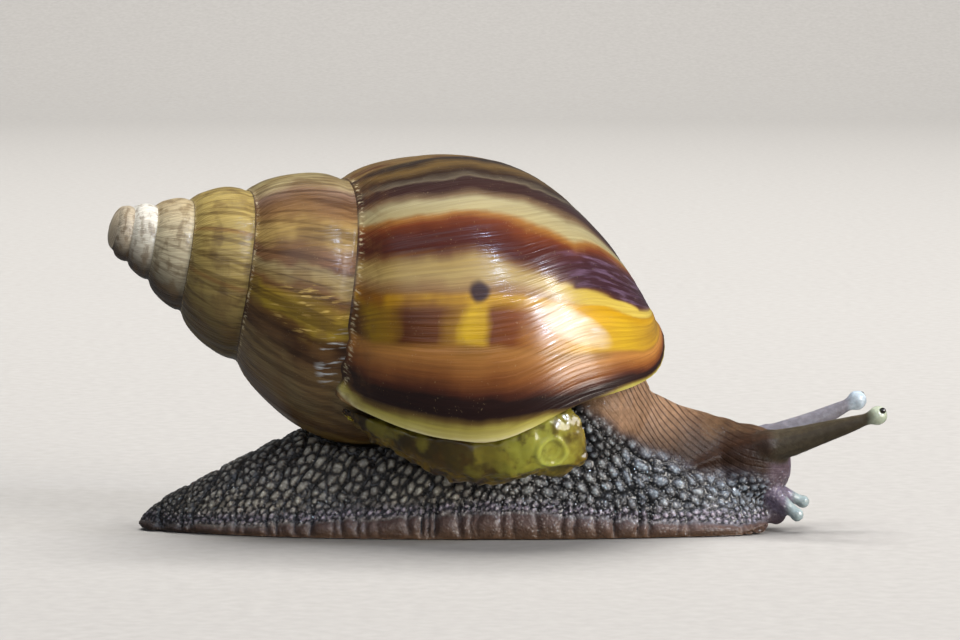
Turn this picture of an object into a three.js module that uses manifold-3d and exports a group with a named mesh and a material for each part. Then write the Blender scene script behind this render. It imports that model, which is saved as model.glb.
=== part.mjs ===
// Giant African land snail, life size: the spiral shell, the crawling foot, the neck and head,
// the feelers and the eyes. Millimetres. +X points to the head, +Z is up, the sole lies on Z = 0,
// and the animal's right side is turned to -Y.

import * as THREE from "three";
import Module from "manifold-3d";

const wasm = await Module();
wasm.setup();

// ---- shell: a right-handed spiral about one axis that leans down to the front

const AXIS_PITCH = THREE.MathUtils.degToRad(17.4);
const AXIS_YAW = THREE.MathUtils.degToRad(8);
const SPIRAL_ORIGIN = new THREE.Vector3(-28.5, -3.4, 22.0);
const GROWTH_PER_TURN = 1.53;
const REFERENCE_TURN = 5;
const COLUMNS_PER_TURN = 24;
const ARC_DIVISIONS = 400;
const HALVINGS = 30;
const LIP_COLUMN = 129;
const LIP_TURN = LIP_COLUMN / COLUMNS_PER_TURN;
const LAST_WHORL_TURN = LIP_TURN - 1;
const BAND_ROWS = 7;
const BASE_ROWS = 11;
// Whorl outline at the reference turn, as distance along the axis and radius about it.
const WHORL_OUTLINE = [
  [16.3, 7.7],
  [17.15, 8.9],
  [19.6, 10.45],
  [22.8, 11.75],
  [26.4, 12.25],
  [28.7, 11.95],
  [31.15, 11.05],
  [34.7, 8.9],
  [38.6, 5.45],
  [41.3, 2.4],
  [42.0, 0],
];
// Swelling of each whorl of the spire between its sutures, as a share of its radius.
const WHORL_BULGE = 0.05;
const BULGED_UNTIL_TURN = 4.3;
const EVEN_FROM_TURN = 4.65;
// Distance along the axis, and how far the whorls there are drawn to the apex.
const WHORL_SHIFTS = [
  [0, 0],
  [2, 0.08],
  [3, 0.16],
  [4.6, 0.32],
  [7, 0.55],
  [9, 0.64],
  [10.7, 0.65],
  [12.2, 0.57],
  [13.8, 0.38],
  [15.2, 0.19],
  [16.5, 0.08],
  [19, 0],
  [100, 0],
];
const APEX_SWELL = 0.35;
const APEX_SWELL_TURNS = 1.35;
const APEX_DOME_HEIGHT = 0.5;
const APEX_SHOULDER = 0.45;
const LIP_DESCENT = 0.6;
const LIP_DESCENT_TURNS = 0.3;
// Where the lip ends the last whorl: share of the outline from the suture, and turn.
const LIP_LINE = [
  [0, 5.375],
  [0.06, 5.355],
  [0.21, 5.336],
  [0.34, 5.317],
  [0.47, 5.274],
  [0.62, 5.245],
  [0.7, 5.219],
  [0.74, 5.19],
  [0.78, 5.12],
  [0.84, 5.0],
  [0.92, 4.93],
  [1, 4.9],
];

// ---- gaps between neighbouring parts

const GAP = 0.3;
const EYE_GAP = 0.08;
// The room left for the shell is moved a little forward and down, to free the aperture.
const CLEARANCE_SHIFT = new THREE.Vector3(0.12, 0, -0.14);

// ---- foot, tail and neck: cross-sections across X

// Position along X, height of the back, half width at the ground, flare of the lower edge,
// lean of the back to the animal's right, and lift of the sole off the ground.
const BODY_STATIONS = [
  [-25.2, 0.85, 0.3, 0.1, 0, 0.5],
  [-24.5, 1.5, 0.95, 0.1, 0, 0.25],
  [-23.4, 2.35, 1.6, 0.12, 0, 0],
  [-21.0, 3.6, 2.7, 0.15, 0, 0],
  [-18.2, 5.05, 3.7, 0.18, 0, 0],
  [-14.6, 6.8, 4.7, 0.2, 0, 0],
  [-10.0, 8.4, 5.4, 0.22, -0.3, 0],
  [-4.0, 9.4, 5.8, 0.25, -1.2, 0],
  [2.0, 10.0, 5.8, 0.25, -2.4, 0],
  [7.0, 10.3, 5.4, 0.25, -3.2, 0],
  [10.4, 9.95, 4.9, 0.25, -2.4, 0],
  [12.6, 8.9, 4.5, 0.28, -1.2, 0],
  [15.0, 8.1, 4.1, 0.32, -0.3, 0],
  [16.6, 7.6, 3.7, 0.4, 0, 0.05],
  [17.7, 6.2, 3.2, 0.5, 0, 0.25],
  [18.4, 3.4, 2.6, 0.5, 0, 0.45],
  [18.7, 1.6, 2.0, 0.4, 0, 0.7],
];
const BODY_SLICES = 38;
const BODY_SIDES = 22;
const FLARE_POWER = 3;
const ROUNDNESS = 2.3;
const TAIL_END = -14.6;
const FOOT_END = 8.4;
const NECK_END = 15.2;
const CUTTER_SIZE = 80;

// ---- head

const HEAD_CENTRE = new THREE.Vector3(16.9, 0, 4.5);
const HEAD_RADII = new THREE.Vector3(3.6, 2.75, 3.0);
const HEAD_RINGS = 14;
const HEAD_SIDES = 22;

// ---- throat: the thick root of the neck, which fills the aperture under the front of the lip

const THROAT_CENTRE = new THREE.Vector3(5.8, -2.6, 9.2);
const THROAT_RADII = new THREE.Vector3(4.7, 5.2, 4.4);
const THROAT_RINGS = 12;
const THROAT_SIDES = 18;

// ---- feelers: base and tip of the right one, as the left is nearly its mirror

const UPPER_BASE = new THREE.Vector3(18.3, -1.35, 5.8);
const RIGHT_UPPER_TIP = new THREE.Vector3(26.2, -3.0, 8.37);
const LEFT_UPPER_TIP = new THREE.Vector3(25.3, 3.0, 8.8);
const UPPER_BASE_RADIUS = 1.25;
const UPPER_STALK_RADIUS = 0.44;
const UPPER_SAG = 0.1;
const BULB_RADIUS = 0.72;
const EYE_RADIUS = 0.22;
const EYE_DETAIL = 8;
const RIGHT_EYE_DIRECTION = new THREE.Vector3(0.5, -0.62, 0.6);
const LEFT_EYE_DIRECTION = new THREE.Vector3(0.5, 0.62, 0.6);
const LOWER_BASE = new THREE.Vector3(18.9, -1.25, 2.9);
const RIGHT_LOWER_TIP = new THREE.Vector3(20.75, -1.75, 1.25);
const LEFT_LOWER_TIP = new THREE.Vector3(21.4, 1.5, 1.75);
const LOWER_BASE_RADIUS = 0.62;
const LOWER_STALK_RADIUS = 0.42;
const LOWER_BULB_RADIUS = 0.5;
const FEELER_SLICES = 7;
const FEELER_SIDES = 12;
const BULB_RINGS = 8;

// ---- lips: two soft lobes under the front of the head

const LIP_LOBE_CENTRE = new THREE.Vector3(19.35, -0.72, 1.35);
const LIP_LOBE_RADII = new THREE.Vector3(0.75, 0.55, 0.95);
const LIP_LOBE_DETAIL = 10;

// ---- mantle collar: the soft pad that fills the aperture between the lip and the spire

const COLLAR_SLICES = 24;
const COLLAR_SIDES = 20;
const COLLAR_START = 0.05;
const COLLAR_END = 0.53;
const COLLAR_INSET = 0.35;
const COLLAR_WALL_PACE = 0.5;
const COLLAR_TURNS_AT_SUTURE = 0.008;
const COLLAR_TURNS_PER_SHARE = 0.15;
const COLLAR_SQUARENESS = 0.55;
const CLEARANCE_RADIUS = 8;

// ---- finishes

const SHELL_COLOUR = 0xb08a4a;
const SHELL_ROUGHNESS = 0.25;
const COLLAR_COLOUR = 0xb9b452;
const COLLAR_ROUGHNESS = 0.3;
const FLESH_COLOUR = 0x6f6252;
const FLESH_ROUGHNESS = 0.5;
const FEELER_COLOUR = 0x9a8f7c;
const EYE_COLOUR = 0x14110f;
const EYE_ROUGHNESS = 0.15;

// ---- closed meshes

/** A manifold solid from corner points and triangles, turned to face outward. */
function solidFrom(points, triangles) {
  let volume = 0;
  for (const [a, b, c] of triangles) {
    volume += points[a].dot(new THREE.Vector3().crossVectors(points[b], points[c]));
  }
  const outward = volume > 0 ? triangles : triangles.map(([a, b, c]) => [a, c, b]);
  const mesh = new wasm.Mesh({
    numProp: 3,
    vertProperties: new Float32Array(points.flatMap((point) => point.toArray())),
    triVerts: new Uint32Array(outward.flat()),
  });
  mesh.merge();
  return new wasm.Manifold(mesh);
}

/** A closed solid from rings with the same number of points, with a fan over each end. */
function loft(rings) {
  const points = rings.flat();
  const sides = rings[0].length;
  const triangles = [];
  for (let ring = 0; ring < rings.length - 1; ring += 1) {
    for (let side = 0; side < sides; side += 1) {
      const a = ring * sides + side;
      const b = ring * sides + ((side + 1) % sides);
      triangles.push([a, b, a + sides], [b, b + sides, a + sides]);
    }
  }
  for (const ring of [0, rings.length - 1]) {
    const centre = new THREE.Vector3();
    rings[ring].forEach((point) => centre.addScaledVector(point, 1 / sides));
    points.push(centre);
    for (let side = 0; side < sides; side += 1) {
      const a = ring * sides + side;
      const b = ring * sides + ((side + 1) % sides);
      triangles.push(ring === 0 ? [b, a, points.length - 1] : [a, b, points.length - 1]);
    }
  }
  return solidFrom(points, triangles);
}

/** An ellipsoid solid, with its poles along X. */
function ellipsoid(centre, radii, rings, sides) {
  const outline = [];
  for (let ring = 1; ring < rings; ring += 1) {
    const polar = (Math.PI * ring) / rings;
    const points = [];
    for (let side = 0; side < sides; side += 1) {
      const around = (2 * Math.PI * side) / sides;
      const offset = new THREE.Vector3(
        -Math.cos(polar),
        Math.sin(polar) * Math.cos(around),
        Math.sin(polar) * Math.sin(around),
      );
      points.push(offset.multiply(radii).add(centre));
    }
    outline.push(points);
  }
  return loft(outline);
}

/** A block between two heights of X, wide and high enough to cut the whole body. */
function slab(fromX, toX) {
  const box = new THREE.BoxGeometry(toX - fromX, CUTTER_SIZE, CUTTER_SIZE);
  box.translate((fromX + toX) / 2, 0, 0);
  const corners = box.getAttribute("position");
  const points = [];
  for (let index = 0; index < corners.count; index += 1) {
    points.push(new THREE.Vector3().fromBufferAttribute(corners, index));
  }
  const order = Array.from(box.getIndex().array);
  const triangles = [];
  for (let index = 0; index < order.length; index += 3) {
    triangles.push(order.slice(index, index + 3));
  }
  return solidFrom(points, triangles);
}

// ---- shell geometry

const axis = new THREE.Vector3(
  Math.cos(AXIS_PITCH) * Math.cos(AXIS_YAW),
  Math.cos(AXIS_PITCH) * Math.sin(AXIS_YAW),
  -Math.sin(AXIS_PITCH),
);
const axisRight = new THREE.Vector3(Math.sin(AXIS_YAW), -Math.cos(AXIS_YAW), 0);
const axisUp = new THREE.Vector3().crossVectors(axisRight, axis);

const outlineCurve = new THREE.CatmullRomCurve3(
  WHORL_OUTLINE.map(([along, radius]) => new THREE.Vector3(along, radius, 0)),
  false,
  "centripetal",
);
outlineCurve.arcLengthDivisions = ARC_DIVISIONS;
const outlineLength = outlineCurve.getLength();

/** Share of the outline, from the suture, where its distance along the axis reaches a value. */
function outlineShareAt(along) {
  let low = 0;
  let high = 1;
  for (let step = 0; step < HALVINGS; step += 1) {
    const middle = (low + high) / 2;
    if (outlineCurve.getPointAt(middle).x < along) {
      low = middle;
    } else {
      high = middle;
    }
  }
  return low;
}

const NEXT_SUTURE_SHARE = outlineShareAt(WHORL_OUTLINE[0][0] * GROWTH_PER_TURN);

/** Value at a place in a table of places and values. */
function valueAt(table, place) {
  const next = Math.max(1, table.findIndex(([tablePlace]) => tablePlace >= place));
  const [fromPlace, fromValue] = table[next - 1];
  const [toPlace, toValue] = table[next];
  return THREE.MathUtils.mapLinear(place, fromPlace, toPlace, fromValue, toValue);
}

/** Turn at which the lip ends the outline at one share. */
function lipTurn(share) {
  return valueAt(LIP_LINE, share);
}

/** Point of the shell at a turn and a share of the outline, pushed outward by a margin. */
function shellPoint(turn, share, margin = 0, swellTurn = REFERENCE_TURN) {
  const growth = GROWTH_PER_TURN ** (turn - REFERENCE_TURN);
  const swell = 1 + APEX_SWELL * Math.exp(-((swellTurn / APEX_SWELL_TURNS) ** 2));
  const local = outlineCurve.getPointAt(share);
  const tangent = outlineCurve.getTangentAt(share);
  const late = THREE.MathUtils.smoothstep(turn, LIP_TURN - LIP_DESCENT_TURNS, LIP_TURN);
  const spire = 1 - THREE.MathUtils.smoothstep(turn, BULGED_UNTIL_TURN, EVEN_FROM_TURN);
  const bulge = 1 + WHORL_BULGE * spire * Math.sin(Math.PI * Math.min(1, share / NEXT_SUTURE_SHARE));
  const drawn = local.x * growth - valueAt(WHORL_SHIFTS, local.x * growth);
  const along = drawn - tangent.y * margin + LIP_DESCENT * late * (1 - share);
  const radius = Math.max(0, local.y * growth * swell * bulge + tangent.x * margin);
  const angle = 2 * Math.PI * turn;
  return SPIRAL_ORIGIN.clone()
    .addScaledVector(axis, along)
    .addScaledVector(axisUp, radius * Math.cos(angle))
    .addScaledVector(axisRight, radius * Math.sin(angle));
}

/** Share of a turn that an arc of one length covers near the lip. */
function turnsOver(arc) {
  return arc / (2 * Math.PI * CLEARANCE_RADIUS);
}

/** The whole shell as one closed solid: the spiral strip, the apex and the aperture. */
function shellSolid(margin = 0, shift = new THREE.Vector3()) {
  const points = [];
  const triangles = [];
  const rowsAt = (column) => (column < LIP_COLUMN - COLUMNS_PER_TURN ? BAND_ROWS : BAND_ROWS + BASE_ROWS);
  const grid = [];
  for (let column = 0; column <= LIP_COLUMN; column += 1) {
    const rows = [];
    const into = Math.max(0, (column - LIP_COLUMN + COLUMNS_PER_TURN) / COLUMNS_PER_TURN);
    for (let row = 0; row <= rowsAt(column); row += 1) {
      const isBand = row <= BAND_ROWS;
      const share = isBand
        ? (NEXT_SUTURE_SHARE * row) / BAND_ROWS
        : NEXT_SUTURE_SHARE + ((1 - NEXT_SUTURE_SHARE) * (row - BAND_ROWS)) / BASE_ROWS;
      const even = column / COLUMNS_PER_TURN;
      const end = lipTurn(share) + turnsOver(margin);
      const turn = into > 0 ? LAST_WHORL_TURN + (end - LAST_WHORL_TURN) * into : even;
      rows.push(points.length);
      points.push(shellPoint(turn, share, margin, even + row / BAND_ROWS).add(shift));
    }
    grid.push(rows);
  }
  // The lower edge of each whorl is the upper edge of the next.
  for (let column = 0; column <= LIP_COLUMN - COLUMNS_PER_TURN; column += 1) {
    grid[column][BAND_ROWS] = grid[column + COLUMNS_PER_TURN][0];
  }
  for (let column = 0; column < LIP_COLUMN; column += 1) {
    const rows = Math.min(grid[column].length, grid[column + 1].length) - 1;
    for (let row = 0; row < rows; row += 1) {
      const a = grid[column][row];
      const b = grid[column + 1][row];
      const c = grid[column + 1][row + 1];
      const d = grid[column][row + 1];
      triangles.push([a, b, c], [a, c, d]);
    }
  }
  closeApex(points, triangles, grid);
  closeAperture(points, triangles, grid);
  return solidFrom(points, triangles);
}

/** A low dome over the first turn of the spiral. */
function closeApex(points, triangles, grid) {
  const rim = [];
  for (let column = 0; column <= COLUMNS_PER_TURN; column += 1) {
    rim.push(grid[column][0]);
  }
  for (let row = BAND_ROWS - 1; row > 0; row -= 1) {
    rim.push(grid[0][row]);
  }
  const centre = new THREE.Vector3();
  rim.forEach((index) => centre.addScaledVector(points[index], 1 / rim.length));
  const top = centre.clone().addScaledVector(axis, -APEX_DOME_HEIGHT);
  const inner = rim.map((index) => {
    points.push(points[index].clone().lerp(top, APEX_SHOULDER).addScaledVector(axis, -APEX_DOME_HEIGHT / 2));
    return points.length - 1;
  });
  points.push(top);
  const peak = points.length - 1;
  rim.forEach((index, place) => {
    const next = (place + 1) % rim.length;
    triangles.push([index, inner[place], rim[next]], [rim[next], inner[place], inner[next]]);
    triangles.push([inner[place], peak, inner[next]]);
  });
}

/** The face inside the lip, from the outer lip to the wall of the whorl before. */
function closeAperture(points, triangles, grid) {
  const lip = grid[LIP_COLUMN];
  const wall = grid[LIP_COLUMN - COLUMNS_PER_TURN];
  const last = lip.length - 1;
  for (let row = 0; row < BAND_ROWS; row += 1) {
    triangles.push([lip[row], wall[BAND_ROWS], lip[row + 1]]);
  }
  for (let row = BAND_ROWS; row < last - 1; row += 1) {
    triangles.push([lip[row], wall[row], lip[row + 1]], [lip[row + 1], wall[row], wall[row + 1]]);
  }
  const pivot = wall[last - 1];
  for (let column = LIP_COLUMN - COLUMNS_PER_TURN; column < LIP_COLUMN; column += 1) {
    triangles.push([pivot, grid[column][last], grid[column + 1][last]]);
  }
  triangles.push([pivot, lip[last], lip[last - 1]]);
}

// ---- body geometry

const stationCurves = [1, 2, 3, 4, 5].map(
  (field) =>
    new THREE.CatmullRomCurve3(
      BODY_STATIONS.map((station) => new THREE.Vector3(station[0], station[field], 0)),
      false,
      "centripetal",
    ),
);

/** Tail, foot and neck in one piece, flat below, or the room they need with a margin. */
function bodySolid(margin = 0) {
  const rings = [];
  for (let slice = 0; slice <= BODY_SLICES; slice += 1) {
    const sections = stationCurves.map((curve) => curve.getPoint(slice / BODY_SLICES));
    const [height, width, flare, lean, rawLift] = sections.map((point) => point.y);
    const lift = Math.max(0, rawLift);
    const { x } = sections[0];
    const ring = [];
    for (let side = 0; side <= BODY_SIDES; side += 1) {
      const angle = (Math.PI * side) / BODY_SIDES;
      const level = Math.sin(angle);
      const round = (1 - flare) * (1 - level ** ROUNDNESS) ** (1 / ROUNDNESS);
      const reach = (width + margin) * (round + flare * (1 - level) ** FLARE_POWER);
      const y = Math.sign(Math.cos(angle)) * -reach + lean * level;
      ring.push(new THREE.Vector3(x + margin, y, lift + (height + margin - lift) * level));
    }
    for (const y of [width / 3, -width / 3]) {
      ring.push(new THREE.Vector3(x + margin, y, lift));
    }
    rings.push(ring);
  }
  return loft(rings);
}

/** A tapered feeler from base to tip that swells into a round bulb and sags a little. */
function feelerSolid(base, tip, baseRadius, stalkRadius, bulbRadius, sag) {
  const along = new THREE.Vector3().subVectors(tip, base);
  const length = along.length();
  along.normalize();
  const across = new THREE.Vector3(0, 1, 0).cross(along).normalize();
  const side = new THREE.Vector3().crossVectors(along, across);
  const bulbShare = 1 - (bulbRadius * 1.1) / length;
  const rings = [];
  const addRing = (distance, radius) => {
    const share = Math.min(1, distance / length);
    const centre = base.clone().addScaledVector(along, distance);
    centre.z -= sag * Math.sin(Math.PI * share);
    const ring = [];
    for (let step = 0; step < FEELER_SIDES; step += 1) {
      const angle = (2 * Math.PI * step) / FEELER_SIDES;
      ring.push(
        centre
          .clone()
          .addScaledVector(across, radius * Math.cos(angle))
          .addScaledVector(side, radius * Math.sin(angle)),
      );
    }
    rings.push(ring);
  };
  for (let slice = 0; slice <= FEELER_SLICES; slice += 1) {
    const share = (bulbShare * slice) / FEELER_SLICES;
    const taper = 1 - share / bulbShare;
    addRing(share * length, stalkRadius + (baseRadius - stalkRadius) * taper);
  }
  for (let slice = 2; slice < BULB_RINGS; slice += 1) {
    const polar = (Math.PI * slice) / BULB_RINGS;
    addRing(length - bulbRadius * Math.cos(polar), bulbRadius * Math.sin(polar));
  }
  return loft(rings);
}

/** The soft pad that fills the aperture behind the lip, as far as the neck. */
function collarSolid(margin = 0) {
  const rings = [];
  for (let slice = 0; slice <= COLLAR_SLICES; slice += 1) {
    const end = COLLAR_END + margin / outlineLength;
    const share = COLLAR_START + ((end - COLLAR_START) * slice) / COLLAR_SLICES;
    const depth = COLLAR_TURNS_AT_SUTURE + COLLAR_TURNS_PER_SHARE * share + turnsOver(margin);
    const wallShare = NEXT_SUTURE_SHARE + COLLAR_WALL_PACE * share;
    const ring = [];
    for (let side = 0; side < COLLAR_SIDES; side += 1) {
      const angle = (2 * Math.PI * side) / COLLAR_SIDES;
      const across = Math.sign(Math.cos(angle)) * Math.abs(Math.cos(angle)) ** COLLAR_SQUARENESS;
      const beyond = Math.sign(Math.sin(angle)) * Math.abs(Math.sin(angle)) ** COLLAR_SQUARENESS;
      const turns = (depth * (beyond + 1)) / 2;
      const outer = shellPoint(lipTurn(share) + turns, share, margin - COLLAR_INSET);
      const inner = shellPoint(LAST_WHORL_TURN + turns, wallShare, GAP);
      ring.push(inner.lerp(outer, (across + 1) / 2));
    }
    rings.push(ring);
  }
  return loft(rings);
}

/** The same vector on the other side of the animal. */
function mirrored(vector) {
  return new THREE.Vector3(vector.x, -vector.y, vector.z);
}

// ---- assembly

/** A named mesh with its own material from a manifold solid. */
function meshFrom(name, solid, color, roughness) {
  const { numProp, vertProperties, triVerts } = solid.getMesh();
  const geometry = new THREE.BufferGeometry();
  const positions = [];
  for (let index = 0; index < vertProperties.length; index += numProp) {
    positions.push(vertProperties[index], vertProperties[index + 1], vertProperties[index + 2]);
  }
  geometry.setAttribute("position", new THREE.Float32BufferAttribute(positions, 3));
  geometry.setIndex(Array.from(triVerts));
  geometry.computeVertexNormals();
  const material = new THREE.MeshStandardMaterial({ color, roughness, metalness: 0 });
  const mesh = new THREE.Mesh(geometry, material);
  mesh.name = name;
  return mesh;
}

/** The two parts of the flesh on either side of a cross-cut, with the gap between them. */
function lengthOf(solid, fromX, toX) {
  return solid.intersect(slab(fromX + GAP / 2, toX - GAP / 2));
}

/** An upper or lower feeler, cut clear of the head. */
function trimmedFeeler(...sizes) {
  return feelerSolid(...sizes).subtract(headClearance);
}

/** A lobe of the lips on one side of the mouth, cut clear of the head and the foot. */
function lipLobe(centre) {
  const lobe = ellipsoid(centre, LIP_LOBE_RADII, LIP_LOBE_DETAIL, LIP_LOBE_DETAIL);
  return lobe.subtract(headClearance).subtract(bodySolid(GAP));
}

/** Centre of the eye, just under the skin of a bulb. */
function eyeCentre(tip, direction) {
  return tip.clone().addScaledVector(direction.clone().normalize(), BULB_RADIUS - EYE_RADIUS / 2);
}

/** A round eye of one radius. */
function eyeSolid(tip, direction, radius) {
  const radii = new THREE.Vector3(radius, radius, radius);
  return ellipsoid(eyeCentre(tip, direction), radii, EYE_DETAIL, EYE_DETAIL);
}

const shell = shellSolid();
const shellClearance = shellSolid(GAP, CLEARANCE_SHIFT);
const collar = collarSolid().subtract(shellClearance);
const headBall = ellipsoid(HEAD_CENTRE, HEAD_RADII, HEAD_RINGS, HEAD_SIDES);
const clearRadii = HEAD_RADII.clone().addScalar(GAP);
const headClearance = ellipsoid(HEAD_CENTRE, clearRadii, HEAD_RINGS, HEAD_SIDES);
const throat = ellipsoid(THROAT_CENTRE, THROAT_RADII, THROAT_RINGS, THROAT_SIDES);
const flesh = bodySolid().add(headBall).add(throat).subtract(shellClearance).subtract(collarSolid(GAP));

const parts = [
  ["shell", shell, SHELL_COLOUR, SHELL_ROUGHNESS],
  ["mantle_collar", collar, COLLAR_COLOUR, COLLAR_ROUGHNESS],
  ["tail", lengthOf(flesh, -CUTTER_SIZE / 2, TAIL_END), FLESH_COLOUR, FLESH_ROUGHNESS],
  ["foot", lengthOf(flesh, TAIL_END, FOOT_END), FLESH_COLOUR, FLESH_ROUGHNESS],
  ["neck", lengthOf(flesh, FOOT_END, NECK_END), FLESH_COLOUR, FLESH_ROUGHNESS],
  ["head", lengthOf(flesh, NECK_END, CUTTER_SIZE / 2), FLESH_COLOUR, FLESH_ROUGHNESS],
];
const sides = [
  ["right", (vector) => vector, RIGHT_UPPER_TIP, RIGHT_LOWER_TIP, RIGHT_EYE_DIRECTION],
  ["left", mirrored, LEFT_UPPER_TIP, LEFT_LOWER_TIP, LEFT_EYE_DIRECTION],
];
for (const [side, place, upperTip, lowerTip, eyeDirection] of sides) {
  const upper = trimmedFeeler(
    place(UPPER_BASE), upperTip, UPPER_BASE_RADIUS, UPPER_STALK_RADIUS, BULB_RADIUS, UPPER_SAG,
  );
  const socket = eyeSolid(upperTip, eyeDirection, EYE_RADIUS + EYE_GAP);
  const eye = eyeSolid(upperTip, eyeDirection, EYE_RADIUS);
  const lower = trimmedFeeler(
    place(LOWER_BASE), lowerTip, LOWER_BASE_RADIUS, LOWER_STALK_RADIUS, LOWER_BULB_RADIUS, 0,
  );
  parts.push(
    [`${side}_upper_tentacle`, upper.subtract(socket), FEELER_COLOUR, FLESH_ROUGHNESS],
    [`${side}_eye`, eye, EYE_COLOUR, EYE_ROUGHNESS],
    [`${side}_lower_tentacle`, lower, FEELER_COLOUR, FLESH_ROUGHNESS],
    [`${side}_lip`, lipLobe(place(LIP_LOBE_CENTRE)), FLESH_COLOUR, FLESH_ROUGHNESS],
  );
}

const snail = new THREE.Group();
snail.name = "giant_african_land_snail";
for (const part of parts) {
  snail.add(meshFrom(...part));
}

export default snail;
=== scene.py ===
"""Giant African land snail, life size: shell, skin, mantle edge, eyes and a plain studio.

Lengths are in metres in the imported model's own frame: +X to the head, +Z up, the sole on Z = 0.
"""

import logging
import math
import random
from collections.abc import Callable, Iterator, Sequence
from contextlib import contextmanager
from dataclasses import dataclass, field
from enum import Enum
from functools import partial
from itertools import product

import bpy
import numpy as np
from mathutils import Matrix, Vector, kdtree, noise
from mathutils.bvhtree import BVHTree


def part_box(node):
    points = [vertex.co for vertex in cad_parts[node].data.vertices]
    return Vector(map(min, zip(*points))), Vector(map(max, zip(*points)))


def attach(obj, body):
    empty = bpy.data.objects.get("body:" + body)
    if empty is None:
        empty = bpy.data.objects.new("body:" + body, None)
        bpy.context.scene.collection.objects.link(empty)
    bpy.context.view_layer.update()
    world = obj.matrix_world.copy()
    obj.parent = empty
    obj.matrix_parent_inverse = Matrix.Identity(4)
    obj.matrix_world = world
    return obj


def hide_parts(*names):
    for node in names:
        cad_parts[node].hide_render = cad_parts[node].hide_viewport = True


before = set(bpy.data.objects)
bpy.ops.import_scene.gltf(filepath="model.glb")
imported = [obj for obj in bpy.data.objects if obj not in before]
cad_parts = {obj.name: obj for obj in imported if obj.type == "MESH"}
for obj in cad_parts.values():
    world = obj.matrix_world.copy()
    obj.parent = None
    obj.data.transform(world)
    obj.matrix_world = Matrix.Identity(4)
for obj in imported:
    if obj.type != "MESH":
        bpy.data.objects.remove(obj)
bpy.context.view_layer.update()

LOG = logging.getLogger("snail")
MM = 0.001
# Shares of the outline nearer to each other than this are one place.
SAME = 1e-4
# Steps from a cube to itself and its neighbours.
AROUND = tuple(product((-1, 0, 1), repeat=3))

Socket = bpy.types.NodeSocket
Setting = float | int | bool | str | tuple[float, ...]
Source = Socket | Setting
AddNode = Callable[..., Socket]
Stops = tuple[tuple[float, str], ...]

# Settings that every node of a kind shares here.
USUAL: dict[str, dict[str, Setting]] = {
    "MapRange": {"interpolation_type": "SMOOTHSTEP"},
    "Mix": {"data_type": "RGBA"},
}


# ---- colours and material nodes

def linear(code: str) -> tuple[float, float, float, float]:
    """Turn an sRGB hex colour into Blender's linear values.

    Args:
        code: six hex digits.

    Returns:
        Red, green, blue and alpha, from 0 to 1.
    """
    channels = [int(code[place:place + 2], 16) / 255 for place in (0, 2, 4)]
    flat = [value / 12.92 if value <= 0.04045 else ((value + 0.055) / 1.055) ** 2.4 for value in channels]
    return (flat[0], flat[1], flat[2], 1.0)


def feed(node: bpy.types.Node, inputs: Sequence[Source] | dict[str | int, Source]) -> None:
    """Give a node's inputs their values, hex colours or links.

    Args:
        node: the node.
        inputs: what the inputs take, in their order, or by name or place.
    """
    for key, source in inputs.items() if isinstance(inputs, dict) else enumerate(inputs):
        if isinstance(source, Socket):
            node.id_data.links.new(source, node.inputs[key])
        else:
            node.inputs[key].default_value = linear(source) if isinstance(source, str) else source


def add_node(tree: bpy.types.NodeTree, kind: str, inputs: Sequence[Source] | dict[str | int, Source] = (),
             output: str | int = 0, stops: Stops = (), **settings: Setting) -> Socket:
    """Add one node with its settings and links.

    Args:
        tree: the material's node tree.
        kind: Blender's class name of the node, without its first part.
        inputs: what its inputs take, in their order, or by name or place.
        output: name or place of the output that is wanted.
        stops: place and hex colour of each stop of a colour ramp.
        settings: properties of the node.

    Returns:
        The wanted output; the others are in its node's outputs.
    """
    node = tree.nodes.new("ShaderNode" + kind)
    for name, value in {**USUAL.get(kind, {}), **settings}.items():
        setattr(node, name, value)
    for place, (position, code) in enumerate(stops):
        elements = node.color_ramp.elements
        element = elements[place] if place < len(elements) else elements.new(1.0)
        element.position = position
        element.color = linear(code)
    feed(node, inputs)
    return node.outputs[output]


def overlap(add: AddNode, first: Socket, *others: Socket) -> Socket:
    """Join masks into one that is whole only where all of them are.

    Args:
        add: adds a node to the material.
        first: the first mask.
        others: the other masks.

    Returns:
        The joint mask.
    """
    for other in others:
        first = add("Math", (first, other), operation="MULTIPLY")
    return first


def layered(add: AddNode, colour: Socket | str, *layers: tuple[Source, ...]) -> Socket:
    """Lay colours over a ground one after another, each through its own mask.

    Args:
        add: adds a node to the material.
        colour: socket or hex colour of the ground.
        layers: mask and colour of each layer, and how it blends where it doesn't simply cover.

    Returns:
        The colour with all its layers.
    """
    for mask, over, *mode in layers:
        colour = add("Mix", {0: mask, 6: colour, 7: over}, 2, blend_type=mode[0] if mode else "MIX")
    return colour


def new_material(name: str) -> tuple[bpy.types.Material, AddNode, bpy.types.Node]:
    """Make a material with an empty principled surface.

    Args:
        name: the finish's name.

    Returns:
        The material, what adds a node to it, and its principled shader.
    """
    material = bpy.data.materials.new(name)
    material.use_nodes = True
    tree = material.node_tree
    return material, partial(add_node, tree), tree.nodes["Principled BSDF"]


# ---- modelling helpers

def select_only(piece: bpy.types.Object) -> None:
    """Make one object the only selected and the active one."""
    bpy.ops.object.select_all(action="DESELECT")
    piece.select_set(True)
    bpy.context.view_layer.objects.active = piece


@contextmanager
def editing(piece: bpy.types.Object) -> Iterator[None]:
    """Hold a piece in edit mode for the length of a with block.

    Args:
        piece: the mesh object to edit.

    Yields:
        Nothing; the piece is in edit mode inside the block.
    """
    select_only(piece)
    bpy.ops.object.mode_set(mode="EDIT")
    yield
    bpy.ops.object.mode_set(mode="OBJECT")


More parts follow.
